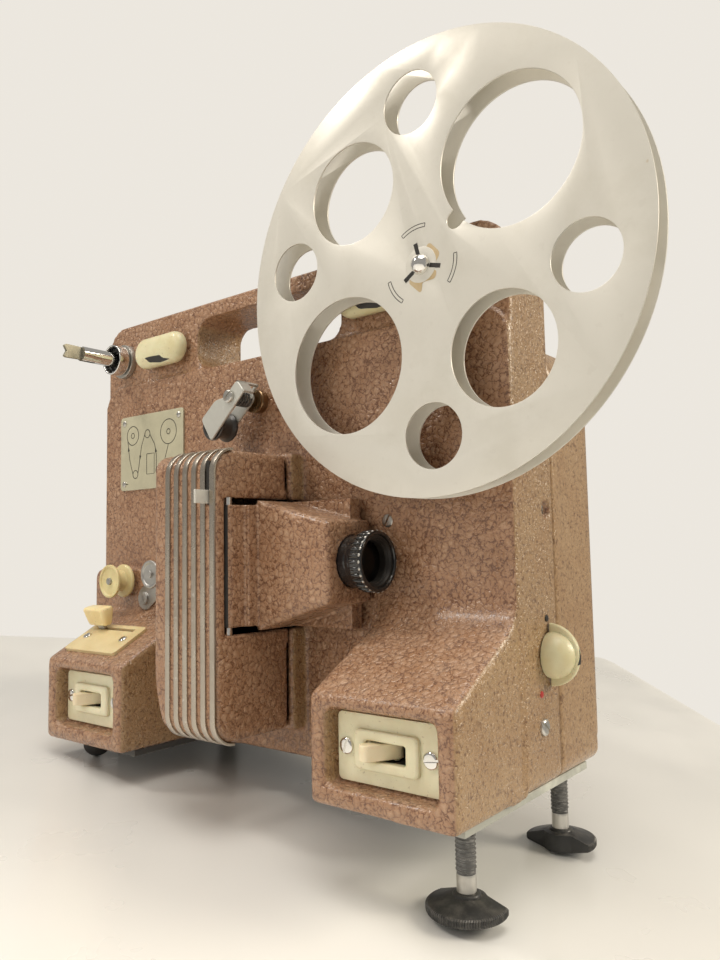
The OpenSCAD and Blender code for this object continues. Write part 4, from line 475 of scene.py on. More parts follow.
def softForm(node, look, shape=None):
    # voxel skin of the solid, smoothed so that every edge is rounded like a casting's
    bm = cadForm(node)
    if "patch" in look:
        low, high = (Vector(corner) for corner in look["patch"])
        addBox(bm, (low + high) / 2, high - low)
    block = workObject(toMesh(bm, outward=False))
    skin = block.modifiers.new("skin", "REMESH")
    skin.mode = "VOXEL"
    skin.voxel_size = look["voxel"]
    ease = block.modifiers.new("ease", "SMOOTH")
    ease.iterations = look["ease"]
    mesh = evaluatedMesh(block)
    if shape:
        shape(mesh)
    triangles = 2 * len(mesh.polygons)
    if triangles > look["most"]:
        block.modifiers.clear()
        block.data = mesh
        thin = block.modifiers.new("thin", "DECIMATE")
        thin.ratio = look["most"] / triangles
        mesh = evaluatedMesh(block)
    bpy.data.objects.remove(block)
    return mesh


def edgedForm(node, width, steps=2, angle=28):
    bm = cadForm(node)
    bmesh.ops.dissolve_limit(bm, angle_limit=radians(1.2), verts=bm.verts[:], edges=bm.edges[:])
    edges = [e for e in bm.edges if e.is_manifold and e.calc_face_angle(0) > radians(angle)]
    bmesh.ops.bevel(bm, geom=edges, offset=width, offset_type="OFFSET", segments=steps, profile=0.6,
                    affect="EDGES", clamp_overlap=True)
    return toMesh(bm, outward=False)


def easeVerts(mesh, rounds, picked):
    # smooths only the picked part of a skin
    bm = bmesh.new()
    bm.from_mesh(mesh)
    verts = [v for v in bm.verts if picked(v.co)]
    for _ in range(rounds):
        bmesh.ops.smooth_vert(bm, verts=verts, factor=0.5, use_axis_x=True, use_axis_y=True, use_axis_z=True)
    bm.to_mesh(mesh)
    bm.free()


def twoTone(mesh, main, other, picked):
    mesh.materials.append(finishes[main])
    mesh.materials.append(finishes[other])
    for face in mesh.polygons:
        if picked(face.center):
            face.material_index = 1
    return mesh


def edged(name, node, width, body, finish, steps=2):
    # the solid itself with its edges broken
    place(name, edgedForm(node, width, steps), body, finish, [node])


def axisFrame(at, way):
    return Matrix.Translation(Vector(at)) @ Vector(way).to_track_quat("Z", "Y").to_matrix().to_4x4()


def framed(at, u, v):
    u, v = Vector(u), Vector(v)
    turned = Matrix((u, v, u.cross(v))).transposed().to_4x4()
    return Matrix.Translation(Vector(at)) @ turned


def onPanel(x, y, z):
    return framed((x, y, z), (1, 0, 0), (0, 0, 1))


def onSide(x, y, z):
    return framed((x, y, z), (0, 1, 0), (0, 0, 1))


# roof of the left box
roofLook = dict(edgeY=-46, edgeZ=39, rise=0.545)
roofSlope = radians(28.6)


def onRoof(x, y):
    z = roofLook["edgeZ"] + (y - roofLook["edgeY"]) * roofLook["rise"]
    return framed((x, y, z), (1, 0, 0), (0, cos(roofSlope), sin(roofSlope)))


def soften(points, radius, steps=4, closed=False):
    out = []
    for i, corner in enumerate(points):
        corner = Vector(corner)
        if not closed and i in (0, len(points) - 1):
            out.append(tuple(corner))
            continue
        back = Vector(points[i - 1]) - corner
        ahead = Vector(points[(i + 1) % len(points)]) - corner
        reach = min(radius, back.length * 0.48, ahead.length * 0.48)
        a, b = corner + back.normalized() * reach, corner + ahead.normalized() * reach
        for k in range(steps + 1):
            t = k / steps
            out.append(tuple(a * (1 - t) ** 2 + corner * 2 * t * (1 - t) + b * t ** 2))
    return out


def lathe(bm, profile, at, steps=72, loop=False):
    # profile points are (along the axis, radius)
    rings = []
    for along, radius in profile:
        count = steps if radius > 1e-6 else 1
        turns = [2 * pi * k / count for k in range(count)]
        rings.append([bm.verts.new(at @ Vector((radius * cos(a), radius * sin(a), along))) for a in turns])
    for a, b in list(zip(rings, rings[1:])) + ([(rings[-1], rings[0])] if loop else []):
        for k in range(steps):
            corners = [a[k % len(a)], a[(k + 1) % len(a)], b[(k + 1) % len(b)], b[k % len(b)]]
            corners = list(dict.fromkeys(corners))
            if len(corners) > 2:
                bm.faces.new(corners)


def bridge(bm, rings):
    # faces between each ring and the next
    for a, b in zip(rings, rings[1:]):
        for k in range(len(a)):
            ahead = (k + 1) % len(a)
            bm.faces.new((a[k], a[ahead], b[ahead], b[k]))


def loft(bm, outline, profile, at):
    # the outline drawn in by each inset and set at each height, closed at both ends
    count = len(outline)
    flat = [Vector(p) for p in outline]
    normals = []
    for i in range(count):
        way = (flat[(i + 1) % count] - flat[i - 1]).normalized()
        normals.append(Vector((way.y, -way.x)))
    rings = []
    for inset, height in profile:
        rings.append([bm.verts.new(at @ Vector((*(p - n * inset), height))) for p, n in zip(flat, normals)])
    bridge(bm, rings)
    bm.faces.new(rings[0][::-1])
    bm.faces.new(rings[-1])


def tube(bm, outerLine, innerLine, profile, at):
    # a frame with an opening; profile rows go round its section as (share across the wall, height)
    rings = []
    for share, height in profile:
        rings.append([bm.verts.new(at @ Vector((*(Vector(o).lerp(Vector(i), share)), height)))
                      for o, i in zip(outerLine, innerLine)])
    bridge(bm, rings + rings[:1])


def roundedBox(width, height, radius, steps=6):
    w, h = width / 2, height / 2
    return soften([(-w, -h), (w, -h), (w, h), (-w, h)], radius, steps, closed=True)


def stadium(length, width, steps=20):
    r, half = width / 2, (length - width) / 2
    right = [(half + r * cos(a), r * sin(a)) for a in (pi * (k / steps - 0.5) for k in range(steps + 1))]
    return right + [(-x, -y) for x, y in right]


def ribbon(bm, points, width, at, low, high):
    # a flat line of even width
    sides = []
    for i, p in enumerate(points):
        a = Vector(points[max(i - 1, 0)])
        b = Vector(points[min(i + 1, len(points) - 1)])
        way = (b - a).normalized()
        off = Vector((-way.y, way.x)) * width / 2
        sides.append((Vector(p) + off, Vector(p) - off))
    loft(bm, [s[1] for s in sides] + [s[0] for s in reversed(sides)], [(0, low), (0, high)], at)


# geometry trees

def newTree(name, inputs):
    tree = bpy.data.node_groups.new(name, "GeometryNodeTree")
    tree.interface.new_socket("Geometry", in_out="INPUT", socket_type="NodeSocketGeometry")
    for label, kind, value in inputs:
        made = tree.interface.new_socket(label, in_out="INPUT", socket_type="NodeSocket" + kind)
        if value is not None:
            made.default_value = value
    tree.interface.new_socket("Geometry", in_out="OUTPUT", socket_type="NodeSocketGeometry")
    return tree, tree.nodes.new("NodeGroupInput").outputs, tree.nodes.new("NodeGroupOutput").inputs


def endTree(tree, geometry, finish, out):
    real = addNode(tree, "GeometryNodeRealizeInstances", Geometry=geometry).outputs[0]
    tree.links.new(addNode(tree, "GeometryNodeSetMaterial", Geometry=real, Material=finish).outputs[0],
                   out[0])


def together(tree, *parts):
    join = addNode(tree, "GeometryNodeJoinGeometry")
    for part in parts:
        tree.links.new(part, join.inputs[0])
    return join.outputs[0]


def grow(mesh, tree, values):
    block = workObject(mesh)
    maker = block.modifiers.new("grow", "NODES")
    maker.node_group = tree
    for item in tree.interface.items_tree:
        if item.in_out == "INPUT" and item.name in values:
            maker[item.identifier] = values[item.name]
    made = evaluatedMesh(block)
    block.modifiers.remove(maker)
    bpy.data.objects.remove(block)
    return made


def barRowTree():
    # one bar repeated along a straight row
    tree, given, out = newTree("barRow",
                               [("Bars", "Int", 6), ("Pitch", "Float", 5.9), ("Finish", "Material", None)])
    step = addNode(tree, "ShaderNodeCombineXYZ", X=given["Pitch"]).outputs[0]
    row = addNode(tree, "GeometryNodeMeshLine", dict(mode="OFFSET"), Count=given["Bars"],
                  Offset=step).outputs[0]
    bars = addNode(tree, "GeometryNodeInstanceOnPoints", Points=row, Instance=given["Geometry"]).outputs[0]
    endTree(tree, bars, given["Finish"], out)
    return tree


def ribRingTree():
    # ribs set round a ring; the ring itself comes in as the geometry
    tree, given, out = newTree("ribRing",
                               [("Ribs", "Int", 26), ("Radius", "Float", 12.0), ("Width", "Float", 1.5),
                                ("Depth", "Float", 0.8), ("Length", "Float", 6.0), ("Low", "Float", 0.0),
                                ("Finish", "Material", None)])
    ring = addNode(tree, "GeometryNodeMeshCircle", Vertices=given["Ribs"], Radius=given["Radius"]).outputs[0]
    section = addNode(tree, "ShaderNodeCombineXYZ",
                      ins=[given["Depth"], given["Width"], given["Length"]]).outputs[0]
    rib = addNode(tree, "GeometryNodeMeshUVSphere", Segments=10, Rings=8, Radius=0.5).outputs[0]
    up = maths(tree, "ADD", given["Low"], times(tree, given["Length"], 0.5))
    lifted = addNode(tree, "ShaderNodeCombineXYZ", Z=up).outputs[0]
    rib = addNode(tree, "GeometryNodeTransform", Geometry=rib, Scale=section, Translation=lifted).outputs[0]
    outward = addNode(tree, "FunctionNodeAlignRotationToVector", dict(axis="X", pivot_axis="Z"),
                      Vector=addNode(tree, "GeometryNodeInputPosition").outputs[0]).outputs[0]
    ribs = addNode(tree, "GeometryNodeInstanceOnPoints", Points=ring, Instance=rib,
                   Rotation=outward).outputs[0]
    endTree(tree, together(tree, given["Geometry"], ribs), given["Finish"], out)
    return tree


def windingTree():
    # a wire or thread wound at an even pitch; the core comes in as the geometry
    tree, given, out = newTree("winding",
                               [("Turns", "Float", 5.0), ("Radius", "Float", 3.6), ("Rise", "Float", 8.5),
                                ("Wire", "Float", 0.5), ("Sides", "Int", 8), ("Start", "Vector", (0, 0, 0)),
                                ("Finish", "Material", None)])
    helix = addNode(tree, "GeometryNodeCurveSpiral", Resolution=40, Rotations=given["Turns"],
                    ins=[None, None, given["Radius"], given["Radius"], given["Rise"]]).outputs[0]
    section = addNode(tree, "GeometryNodeCurvePrimitiveCircle", Resolution=given["Sides"],
                      Radius=given["Wire"]).outputs[0]
    wire = addNode(tree, "GeometryNodeCurveToMesh", Curve=helix, Profile_Curve=section,
                   Fill_Caps=True).outputs[0]
    wire = addNode(tree, "GeometryNodeTransform", Geometry=wire, Translation=given["Start"]).outputs[0]
    endTree(tree, together(tree, given["Geometry"], wire), given["Finish"], out)
    return tree


def screwTree():
    # screw heads on points that carry their own facing, slot turn and size
    tree, given, out = newTree("screwHeads", [("Head", "Object", None), ("Finish", "Material", None)])
    facing = addNode(tree, "GeometryNodeInputNamedAttribute", dict(data_type="FLOAT_VECTOR"),
                     Name="facing").outputs[0]
    turn = addNode(tree, "GeometryNodeInputNamedAttribute", dict(data_type="FLOAT"),
                   Name="slotTurn").outputs[0]
    size = addNode(tree, "GeometryNodeInputNamedAttribute", dict(data_type="FLOAT"),
                   Name="headSize").outputs[0]
    aimed = addNode(tree, "FunctionNodeAlignRotationToVector", dict(axis="Z"), Vector=facing).outputs[0]
    spun = addNode(tree, "FunctionNodeAxisAngleToRotation", Axis=(0, 0, 1), Angle=turn).outputs[0]
    aimed = addNode(tree, "FunctionNodeRotateRotation", dict(rotation_space="LOCAL"),
                    ins=[aimed, spun]).outputs[0]
    head = addNode(tree, "GeometryNodeObjectInfo", Object=given["Head"]).outputs["Geometry"]
    heads = addNode(tree, "GeometryNodeInstanceOnPoints", Points=given["Geometry"], Instance=head,
                    Rotation=aimed, Scale=size).outputs[0]
    endTree(tree, heads, given["Finish"], out)
    return tree


barRow, ribRing, winding, screwHeads = barRowTree(), ribRingTree(), windingTree(), screwTree()
print("trees made")


# castings

castingLook = dict(voxel=1.05, ease=3, most=196000, creaseY=1.5, creaseTop=66, creaseDepth=0.9,
                   creaseWidth=1.6, side=127.8, hole=(26, 105), holeRadius=3.3, holeDeep=2.2,
                   boxBack=-7, boxEase=12)
coverLook = dict(voxel=1.3, ease=6, most=120000, back=79, heelRadius=12)
lampLook = dict(voxel=0.8, ease=4, most=120000, left=-18, arcTop=43.7, arcRadius=49, arcBack=-11, arcFade=16,
                rightFrom=9, gateBay=(51, 117), rightEase=26)
gateLook = dict(voxel=0.5, ease=4, most=140000, hinge=(19.4, -41.5), knuckle=4, groove=(-64, -40),
                blockFrom=27, blockFront=-10, blockEase=100, lens=(-13, 86), boreKept=11.6, pinRoom=0.35,
                patch=((34, -2.3, 79.5), (62.6, -1.4, 92.5)))


def castingShape(mesh):
    # rounder edges on the boxes, a shallow crease where a box meets the side, and a sunk screw hole above it
    look = castingLook
    easeVerts(mesh, look["boxEase"], lambda p: p.y < look["boxBack"])
    holeY, holeZ = look["hole"]
    for v in mesh.vertices:
        if v.co.x > look["side"]:
            if v.co.z < look["creaseTop"]:
                gap = (v.co.y - look["creaseY"]) / look["creaseWidth"]
                v.co.x -= look["creaseDepth"] * 2.7 ** (-gap * gap)
            if sqrt((v.co.y - holeY) ** 2 + (v.co.z - holeZ) ** 2) < look["holeRadius"]:
                v.co.x -= look["holeDeep"]


def coverShape(mesh):
    # rounded heel along the bottom of the back
    r, back = coverLook["heelRadius"], coverLook["back"]
    for v in mesh.vertices:
        y, z = v.co.y - back + r, r - v.co.z
        if y > 0 and z > 0:
            shrink = max(y, z) / sqrt(y * y + z * z)
            v.co.y = back - r + y * shrink
            v.co.z = r - z * shrink


def lampShape(mesh):
    # rounder edges on the right, above and below the gate; the left wall curves in towards its foot
    look = lampLook
    low, high = look["gateBay"]
    easeVerts(mesh, look["rightEase"], lambda p: p.x > look["rightFrom"] and not low < p.z < high)
    r = look["arcRadius"]
    for v in mesh.vertices:
        down = look["arcTop"] - v.co.z
        if down > 0 and v.co.y < look["arcBack"]:
            share = max(0.0, min(1.0, 1 - (v.co.x - look["left"]) / look["arcFade"]))
            v.co.x += (r - sqrt(r * r - down * down)) * share


def gateShape(mesh):
    # rounder edges on the lens block, and room round the hinge pins
    look = gateLook
    lensY, lensZ = look["lens"]

    def onBlock(p):
        away = sqrt((p.y - lensY) ** 2 + (p.z - lensZ) ** 2)
        return p.x > look["blockFrom"] and p.y < look["blockFront"] and away > look["boreKept"]

    easeVerts(mesh, look["blockEase"], onBlock)
    hinge = Vector(look["hinge"])
    pins = cadForm("hinge_pins")
    room = max((v.co.xy - hinge).length for v in pins.verts) + look["pinRoom"]
    pins.free()
    for v in mesh.vertices:
        out = v.co.xy - hinge
        if 0.01 < out.length < room:
            v.co.xy = hinge + out * (room / out.length)


def onHingeShadow(p):
    # faces down the hinge knuckle, painted black as a painted shadow for the gap beside the lamp house
    x, y = p.x - gateLook["hinge"][0], p.y - gateLook["hinge"][1]
    first, last = gateLook["groove"]
    return x * x + y * y < (gateLook["knuckle"] + 0.2) ** 2 and first < degrees(atan2(y, x)) < last


place("bodyCasting", softForm("front_casting", castingLook, castingShape), "body", "casting",
      ["front_casting"], 60)
place("rearCover", softForm("rear_cover", coverLook, coverShape), "body", "sand", ["rear_cover"], 60)
place("lampHouse", softForm("lamp_house", lampLook, lampShape), "body", "hammertone", ["lamp_house"], 60)
# the hinge knuckle's faces within the arc take black as a painted shadow
gate = twoTone(softForm("lens_gate", gateLook, gateShape), "hammertone", "inkAndShade", onHingeShadow)
place("lensGate", gate, "gate", "hammertone", ["lens_gate"], 60)
baseLook = dict(rearFrom=70, rearIn=13, paleFrom=66)


def basePlate(look):
    # painted pale along the right side only; elsewhere dark steel as painted shade beneath the body; short of
    # the cover's heel
    mesh = edgedForm("base_plate", 0.5)
    for v in mesh.vertices:
        if v.co.y > look["rearFrom"]:
            v.co.y -= look["rearIn"]
    # painted shade: faces left of paleFrom take the dark steel finish
    return twoTone(mesh, "basePaint", "darkSteel", lambda p: p.x < look["paleFrom"])


place("basePlate", basePlate(baseLook), "body", "basePaint", ["base_plate"])
print("castings skinned")


# trim strips: one bar bent over the lamp house, set in a row

stripLook = dict(bars=6, pitch=5.6, lastX=21.3, width=2.9, thick=0.8, front=-51, low=14, high=133, radius=10)


def stripBar(look):
    r = look["radius"]
    bend = [pi / 2 * k / 14 for k in range(15)]
    path = [(look["front"] + r - r * cos(a), look["low"] + r - r * sin(a)) for a in reversed(bend)]
    path += [(look["front"] + r - r * cos(a), look["high"] - r + r * sin(a)) for a in bend]
    w, t = look["width"] / 2, look["thick"]
    section = soften([(-w, -0.25), (-w, t), (w, t), (w, -0.25)], 0.45, 3)
    bm = bmesh.new()
    rings = []
    for i, p in enumerate(path):
        way = (Vector(path[min(i + 1, len(path) - 1)]) - Vector(path[max(i - 1, 0)])).normalized()
        outward = Vector((-way.y, way.x))
        rings.append([bm.verts.new((u, p[0] + outward.x * s, p[1] + outward.y * s)) for u, s in section])
    bridge(bm, rings)
    bm.faces.new(rings[0])
    bm.faces.new(rings[-1][::-1])
    return toMesh(bm)


strips = grow(stripBar(stripLook), barRow, {"Bars": stripLook["bars"], "Pitch": stripLook["pitch"],
                                            "Finish": finishes["trim"]})
firstX = stripLook["lastX"] - (stripLook["bars"] - 1) * stripLook["pitch"]
strips.transform(Matrix.Translation((firstX, 0, 0)))
place("trimStrips", strips, "body", "trim", ["lamp_house_trim"])
slotLook = dict(x=18.5, low=110, high=128, width=2.0, face=-51.0)


def framingSlot(look):
    # a black stadium on the face: painted shade for the dark of the slot that the framing tab runs in
    at = onPanel(look["x"], look["face"], (look["low"] + look["high"]) / 2)
    outline = [(-v, u) for u, v in stadium(look["high"] - look["low"], look["width"])]
    bm = bmesh.new()
    loft(bm, outline, [(0, -0.6), (0, 0.06)], at)
    place("framingSlot", toMesh(bm), "body", "inkAndShade")


framingSlot(slotLook)
print("strips set")


# switches

switchLook = dict(xs=dict(left=-78.5, right=98), z=21, face=-39.5, frame=(27.5, 14), window=(17.5, 7),
                  rise=2.0, slim=0.8, screwAt=18, screwTurns=dict(left=(12, 95), right=(70, 8)),
                  toggle=dict(voxel=0.36, ease=5, most=16000))


def switchPlate(side, x, look):
    bm = bmesh.new()
    bm.from_mesh(edgedForm("switch_plate_" + side, 0.5, 3))
    at = onPanel(x, look["face"], look["z"])
    r = look["rise"]
    tube(bm, roundedBox(*look["frame"], 2.4), roundedBox(*look["window"], 1.6),
         [(0, -0.3), (0.02, r - 0.7), (0.1, r - 0.2), (0.22, r), (0.8, r), (0.93, r - 0.15),
          (1, r - 0.6), (1, -0.3)], at)
    place("switchPlate." + side, toMesh(bm), "body", "cream", ["switch_plate_" + side])
    toggle = softForm("toggle_" + side, look["toggle"])
    for v in toggle.vertices:
        v.co.z = look["z"] + (v.co.z - look["z"]) * look["slim"]
    place("toggle." + side, toggle, "switch_" + side, "peach", ["toggle_" + side], 60)


for side, x in switchLook["xs"].items():
    switchPlate(side, x, switchLook)
edged("speedPlate", "speed_plate", 0.35, "body", "straw", 3)
edged("speedLever", "speed_lever", 0.2, "speed", "zinc")

leverLook = dict(x=-94.5, y=-30, up=7.5, foot=3.6, lean=12, width=18.6, deep=8, ribs=12,
                 levels=[(2.4, 0.0), (1.7, 0.4), (1.4, 1.4), (1.3, 1.6), (0.7, 4.6), (0.1, 7.9), (0.2, 8.4),
                         (0.6, 9.1), (1.6, 9.4)])


def leverKnob(look):
    # waisted ivory grip, wider at the top, ribbed across its front
    foot = onRoof(look["x"], look["y"]) @ Vector((0, look["up"], look["foot"]))
    lean = radians(look["lean"])
    at = framed(foot, (1, 0, 0), (0, cos(lean), sin(lean)))
    w, d = look["width"] / 2, look["deep"] / 2
    smooth = roundedBox(look["width"], look["deep"], 3.2, 7)
    fine = []
    for i, p in enumerate(smooth):
        ahead = Vector(smooth[(i + 1) % len(smooth)])
        parts = max(1, int((ahead - Vector(p)).length / 0.2))
        fine += [Vector(p).lerp(ahead, k / parts) for k in range(parts)]
    bm = bmesh.new()
    rings = []
    for inset, height in look["levels"]:
        ribs = 0.4 if 1.5 < height < 8.2 else 0.0
        ring = []
        for p in fine:
            x, y = p.x * (w - inset) / w, p.y * (d - inset) / d
            if abs(p.y) > d - 0.05:
                y *= 1 - ribs / d * (0.5 + 0.5 * cos(2 * pi * p.x * look["ribs"] / look["width"]))
            ring.append(bm.verts.new(at @ Vector((x, y, height))))
        rings.append(ring)
    bridge(bm, rings)
    bm.faces.new(rings[0])
    bm.faces.new(rings[-1])
    return toMesh(bm)


place("leverKnob", leverKnob(leverLook), "speed", "honey", ["speed_lever_knob"])
print("switches and lever set")


# knobs

ovalLook = dict(xs=dict(left=-76, right=68), z=198.5, back=-0.4, length=39.5, width=16.4, hub=6.0, seat=1.6,
                pillow=[(0.5, 0.0), (0.0, 0.5), (0.0, 2.4), (0.25, 3.4), (0.9, 4.4), (2.0, 5.15), (3.6, 5.7),
                        (5.2, 6.0), (7.0, 6.15), (8.0, 6.2)],
                pointer=[(-10.2, -3.2), (-5.6, -3.0), (4.6, -3.5), (7.0, -5.6), (13.0, -7.0),
                         (3.6, -7.8), (-6.2, -6.4)])


def pillowHeight(u, v, look):
    r, half = look["width"] / 2, (look["length"] - look["width"]) / 2
    inset = r - (Vector((u, v)) - Vector((max(-half, min(half, u)), 0))).length
    rows = look["pillow"][2:]
    for (a, ha), (b, hb) in zip(rows, rows[1:]):
        if inset <= b:
            return ha + (hb - ha) * max(0.0, inset - a) / (b - a)
    return rows[-1][1]


def ovalKnob(side, x, look):
    at = onPanel(x, look["back"], look["z"])
    bm = bmesh.new()
    loft(bm, stadium(look["length"], look["width"]), look["pillow"], at)
    sunk = look["back"] - look["seat"]
    lathe(bm, [(sunk, 0), (sunk, look["hub"]), (0.5, look["hub"]), (0.5, 0)], at, 40)
    place("ovalKnob." + side, toMesh(bm), "oval_" + side, "ivory", ["oval_knob_" + side], 50)
    bm = bmesh.new()
    rim = soften(look["pointer"], 1.0, 4, True)
    middle = sum((Vector(p) for p in rim), Vector((0, 0))) / len(rim)
    rings = []
    for share in (1.0, 0.8, 0.6, 0.4, 0.2):
        flat = [middle.lerp(Vector(p), share) for p in rim]
        lift = 0.1 if share < 1 else -0.15
        rings.append([bm.verts.new(at @ Vector((*p, pillowHeight(*p, look) + lift))) for p in flat])
    bridge(bm, rings)
    bm.faces.new(rings[-1])
    place("ovalPointer." + side, toMesh(bm), "oval_" + side, "inkAndShade")


for side, x in ovalLook["xs"].items():
    ovalKnob(side, x, ovalLook)

sideLook = dict(x=129.4, y=25, z=49, ball=9, ballOut=2, ballFrom=-0.223, fin=12, finThick=2.6, mark=15,
                markWidth=1.1, dots=dict(black=(23.2, 63, "inkAndShade"), red=(16.8, 35, "red")),
                dotRadius=1.3, wall=129)


def sideKnob(look):
    # a ball that stands out of the wall, with a half-round fin through its middle
    b, out, r, t = look["ball"], look["ballOut"], look["fin"], look["finThick"] / 2
    foot = sqrt(b * b - out * out)
    first = look["ballFrom"]
    ball = [(out + b * sin(a), b * cos(a)) for a in (first + (pi / 2 - first) * k / 20 for k in range(20))]
    bm = bmesh.new()
    lathe(bm, [(0, 0), (0, foot)] + ball + [(out + b, 0)], onSide(look["x"], look["y"], look["z"]))
    half = [(r * cos(a), r * sin(a)) for a in (pi * (k / 48 - 0.5) for k in range(49))]
    at = onPanel(look["x"], look["y"], look["z"])
    loft(bm, half, [(0.7, -t), (0.2, -t + 0.2), (0, -t + 0.7), (0, t - 0.7), (0.2, t - 0.2), (0.7, t)], at)
    place("sideKnob", toMesh(bm), "side_control", "ivory", ["side_knob"], 50)
    bm = bmesh.new()
    rings = []
    for k in range(13):
        a = radians(look["mark"] * (2 * k / 12 - 1))
        w = look["markWidth"] * (1 - k / 12) + 0.04
        rings.append([bm.verts.new(at @ Vector((q * cos(a), q * sin(a), side * w)))
                      for q, side in ((r - 0.3, -1), (r - 0.3, 1), (r + 0.04, 1), (r + 0.04, -1))])
    bridge(bm, rings)
    bm.faces.new(rings[0])
    bm.faces.new(rings[-1])
    place("sidePointer", toMesh(bm), "side_control", "inkAndShade")


def indexDots(look):
    for name, (y, z, finish) in look["dots"].items():
        r = look["dotRadius"]
        bm = bmesh.new()
        lathe(bm, [(-0.3, 0), (-0.3, r), (0.25, r), (0.45, r * 0.86), (0.56, r * 0.5), (0.6, 0)],
              onSide(look["wall"], y, z), 28)
        place("indexDot." + name, toMesh(bm), "body", finish, ["index_dots"])


sideKnob(sideLook)
indexDots(sideLook)
print("knobs set")


# reel

reelLook = dict(keys=(104.6, -15.3, -147), keyFrom=4.1, keyTo=9.0, keyWidth=1.7, arcs=(102, -17, -146),
                arcRadius=15.3, arcSpan=41, arcWidth=1.4, arcLine=0.3,
                glue=[[(3.9, 7.7), (8.6, 2.7), (6.5, -0.7), (3.9, 2.2), (2.2, 5.2)],
                      [(6.9, -3.5), (6.3, -6.6), (2.2, -6.6), (0.3, -6.9), (-0.2, -11.0), (-5.8, -5.6),
                       (-3.2, -3.8), (1.6, -4.0)]])


def reelShadeAndGlue(look):
    at = onPanel(*reelHub)
    # painted shade: black key slots stand in for the dark seen through the hub openings, and thin black arcs
    # for the shading along the stamped arcs
    bm = bmesh.new()
    for angle in look["keys"]:
        way = Vector((cos(radians(angle)), sin(radians(angle))))
        ribbon(bm, [way * look["keyFrom"], way * look["keyTo"]], look["keyWidth"], at, -0.2, 0.2)
    for angle in look["arcs"]:
        sweep = [radians(angle - look["arcSpan"] / 2 + look["arcSpan"] * k / 18) for k in range(19)]
        inner, outer = (look["arcRadius"] + s * look["arcWidth"] / 2 for s in (-1, 1))
        rim = [(outer * cos(a), outer * sin(a)) for a in sweep]
        rim += [(inner * cos(a), inner * sin(a)) for a in reversed(sweep)]
        ribbon(bm, rim + rim[:1], look["arcLine"], at, -0.2, 0.04)
    place("reelKeySlots", toMesh(bm), "reel", "inkAndShade")
    bm = bmesh.new()
    for patch in look["glue"]:
        loft(bm, soften(patch, 1.6, 5, True), [(0, -0.1), (0, 0.03), (0.25, 0.07)], at)
    place("reelGlue", toMesh(bm), "reel", "residue")


edged("reelFront", "reel_front_flange", 0.22, "reel", "reel")
edged("reelBack", "reel_back_flange", 0.22, "reel", "reel")
edged("reelCore", "reel_core", 0.2, "reel", "reel")
reelShadeAndGlue(reelLook)

spindleLook = dict(y=-22, radius=4.0, collar=8.0, journal=3.5, ringRadius=7.0)


def reelSpindle(look):
    at = axisFrame((reelHub.x, look["y"], reelHub.z), (0, 1, 0))
    r = look["radius"]
    ball = [(r - r * cos(a), r * sin(a)) for a in (pi / 2 * k / 12 for k in range(13))]
    bm = bmesh.new()
    lathe(bm, ball + soften([(3.85, r), (3.85, look["ringRadius"]), (4.3, look["ringRadius"]), (4.3, r),
                             (14, r), (14, look["collar"]), (20.4, look["collar"]), (20.4, look["journal"]),
                             (45, look["journal"]), (45, 0)], 0.3, 3), at)

    def onWasher(p):
        return abs(p.y - reelHub.y) < 0.4 and (p.xz - reelHub.xz).length > r + 0.05

    place("reelSpindle", twoTone(toMesh(bm), "chrome", "reel", onWasher), "reel", "chrome", ["reel_spindle"])


reelSpindle(spindleLook)

takeupLook = dict(x=-112.5, z=198.5, end=-27, radius=4.0, collar=8.3, recess=5.0, slot=2.6, slotDeep=8)


def takeupSpindle(look):
    at = axisFrame((look["x"], look["end"], look["z"]), (0, 1, 0))
    r, c = look["radius"], look["collar"]
    bm = bmesh.new()
    lathe(bm, [(0, 0)] + soften([(0, r), (19 + look["recess"], r), (19 + look["recess"], c - 1.0),
                                 (19, c - 0.8), (19, c), (25.2, c), (25.2, 3.5), (57, 3.5)],
                                0.35, 3) + [(57, 0)], at)
    slotAt = (look["x"], look["end"] + look["slotDeep"] / 2 - 0.5, look["z"])
    mesh = cutBox(toMesh(bm), slotAt, (look["slot"], look["slotDeep"] + 1, 12))
    place("takeupSpindle", mesh, "takeup", "chrome", ["takeup_spindle"])
    bm = bmesh.new()
    lathe(bm, [(22.9, r + 0.02), (23.9, r + 0.02), (23.9, c - 0.95), (19.9, c - 0.95), (19.9, c - 1.1),
               (22.9, c - 1.5)], at, 72, True)
    place("takeupShade", toMesh(bm), "takeup", "enamel")


takeupSpindle(takeupLook)

tipLook = dict(x=-112.5, pin=-23, z=198.5, length=14, width=6.5, thick=1.8, notch=1.6)


def spindleTip(look):
    # flat blade with a fish-tail end and its own cross pin
    w, l = look["width"] / 2, look["length"]
    blade = [(3.1 * cos(a), 3.1 * sin(a)) for a in (pi * (0.5 - k / 12) for k in range(13))]
    blade += [(-3.6, -w + 0.25), (-l + 1, -w), (-l, -w + 0.4), (-l + look["notch"], 0), (-l, w - 0.4),
              (-l + 1, w), (-3.6, w - 0.25)]
    at = framed((look["x"], look["pin"], look["z"]), (0, 1, 0), (0, 0, 1))
    bm = bmesh.new()
    t = look["thick"] / 2
    loft(bm, soften(blade[::-1], 0.4, 3, True)[::-1], [(0.3, -t), (0, -t + 0.3), (0, t - 0.3), (0.3, t)], at)
    lathe(bm, soften([(-3.4, 0), (-3.4, 1.0), (3.4, 1.0), (3.4, 0)], 0.25, 2), at, 24)
    place("spindleTip", toMesh(bm), "takeup_tip", "olive", ["spindle_tip"])


spindleTip(tipLook)
edged("spindleBushes", "spindle_bushes", 0.4, "body", "zinc")
print("reel and spindles set")


# lens

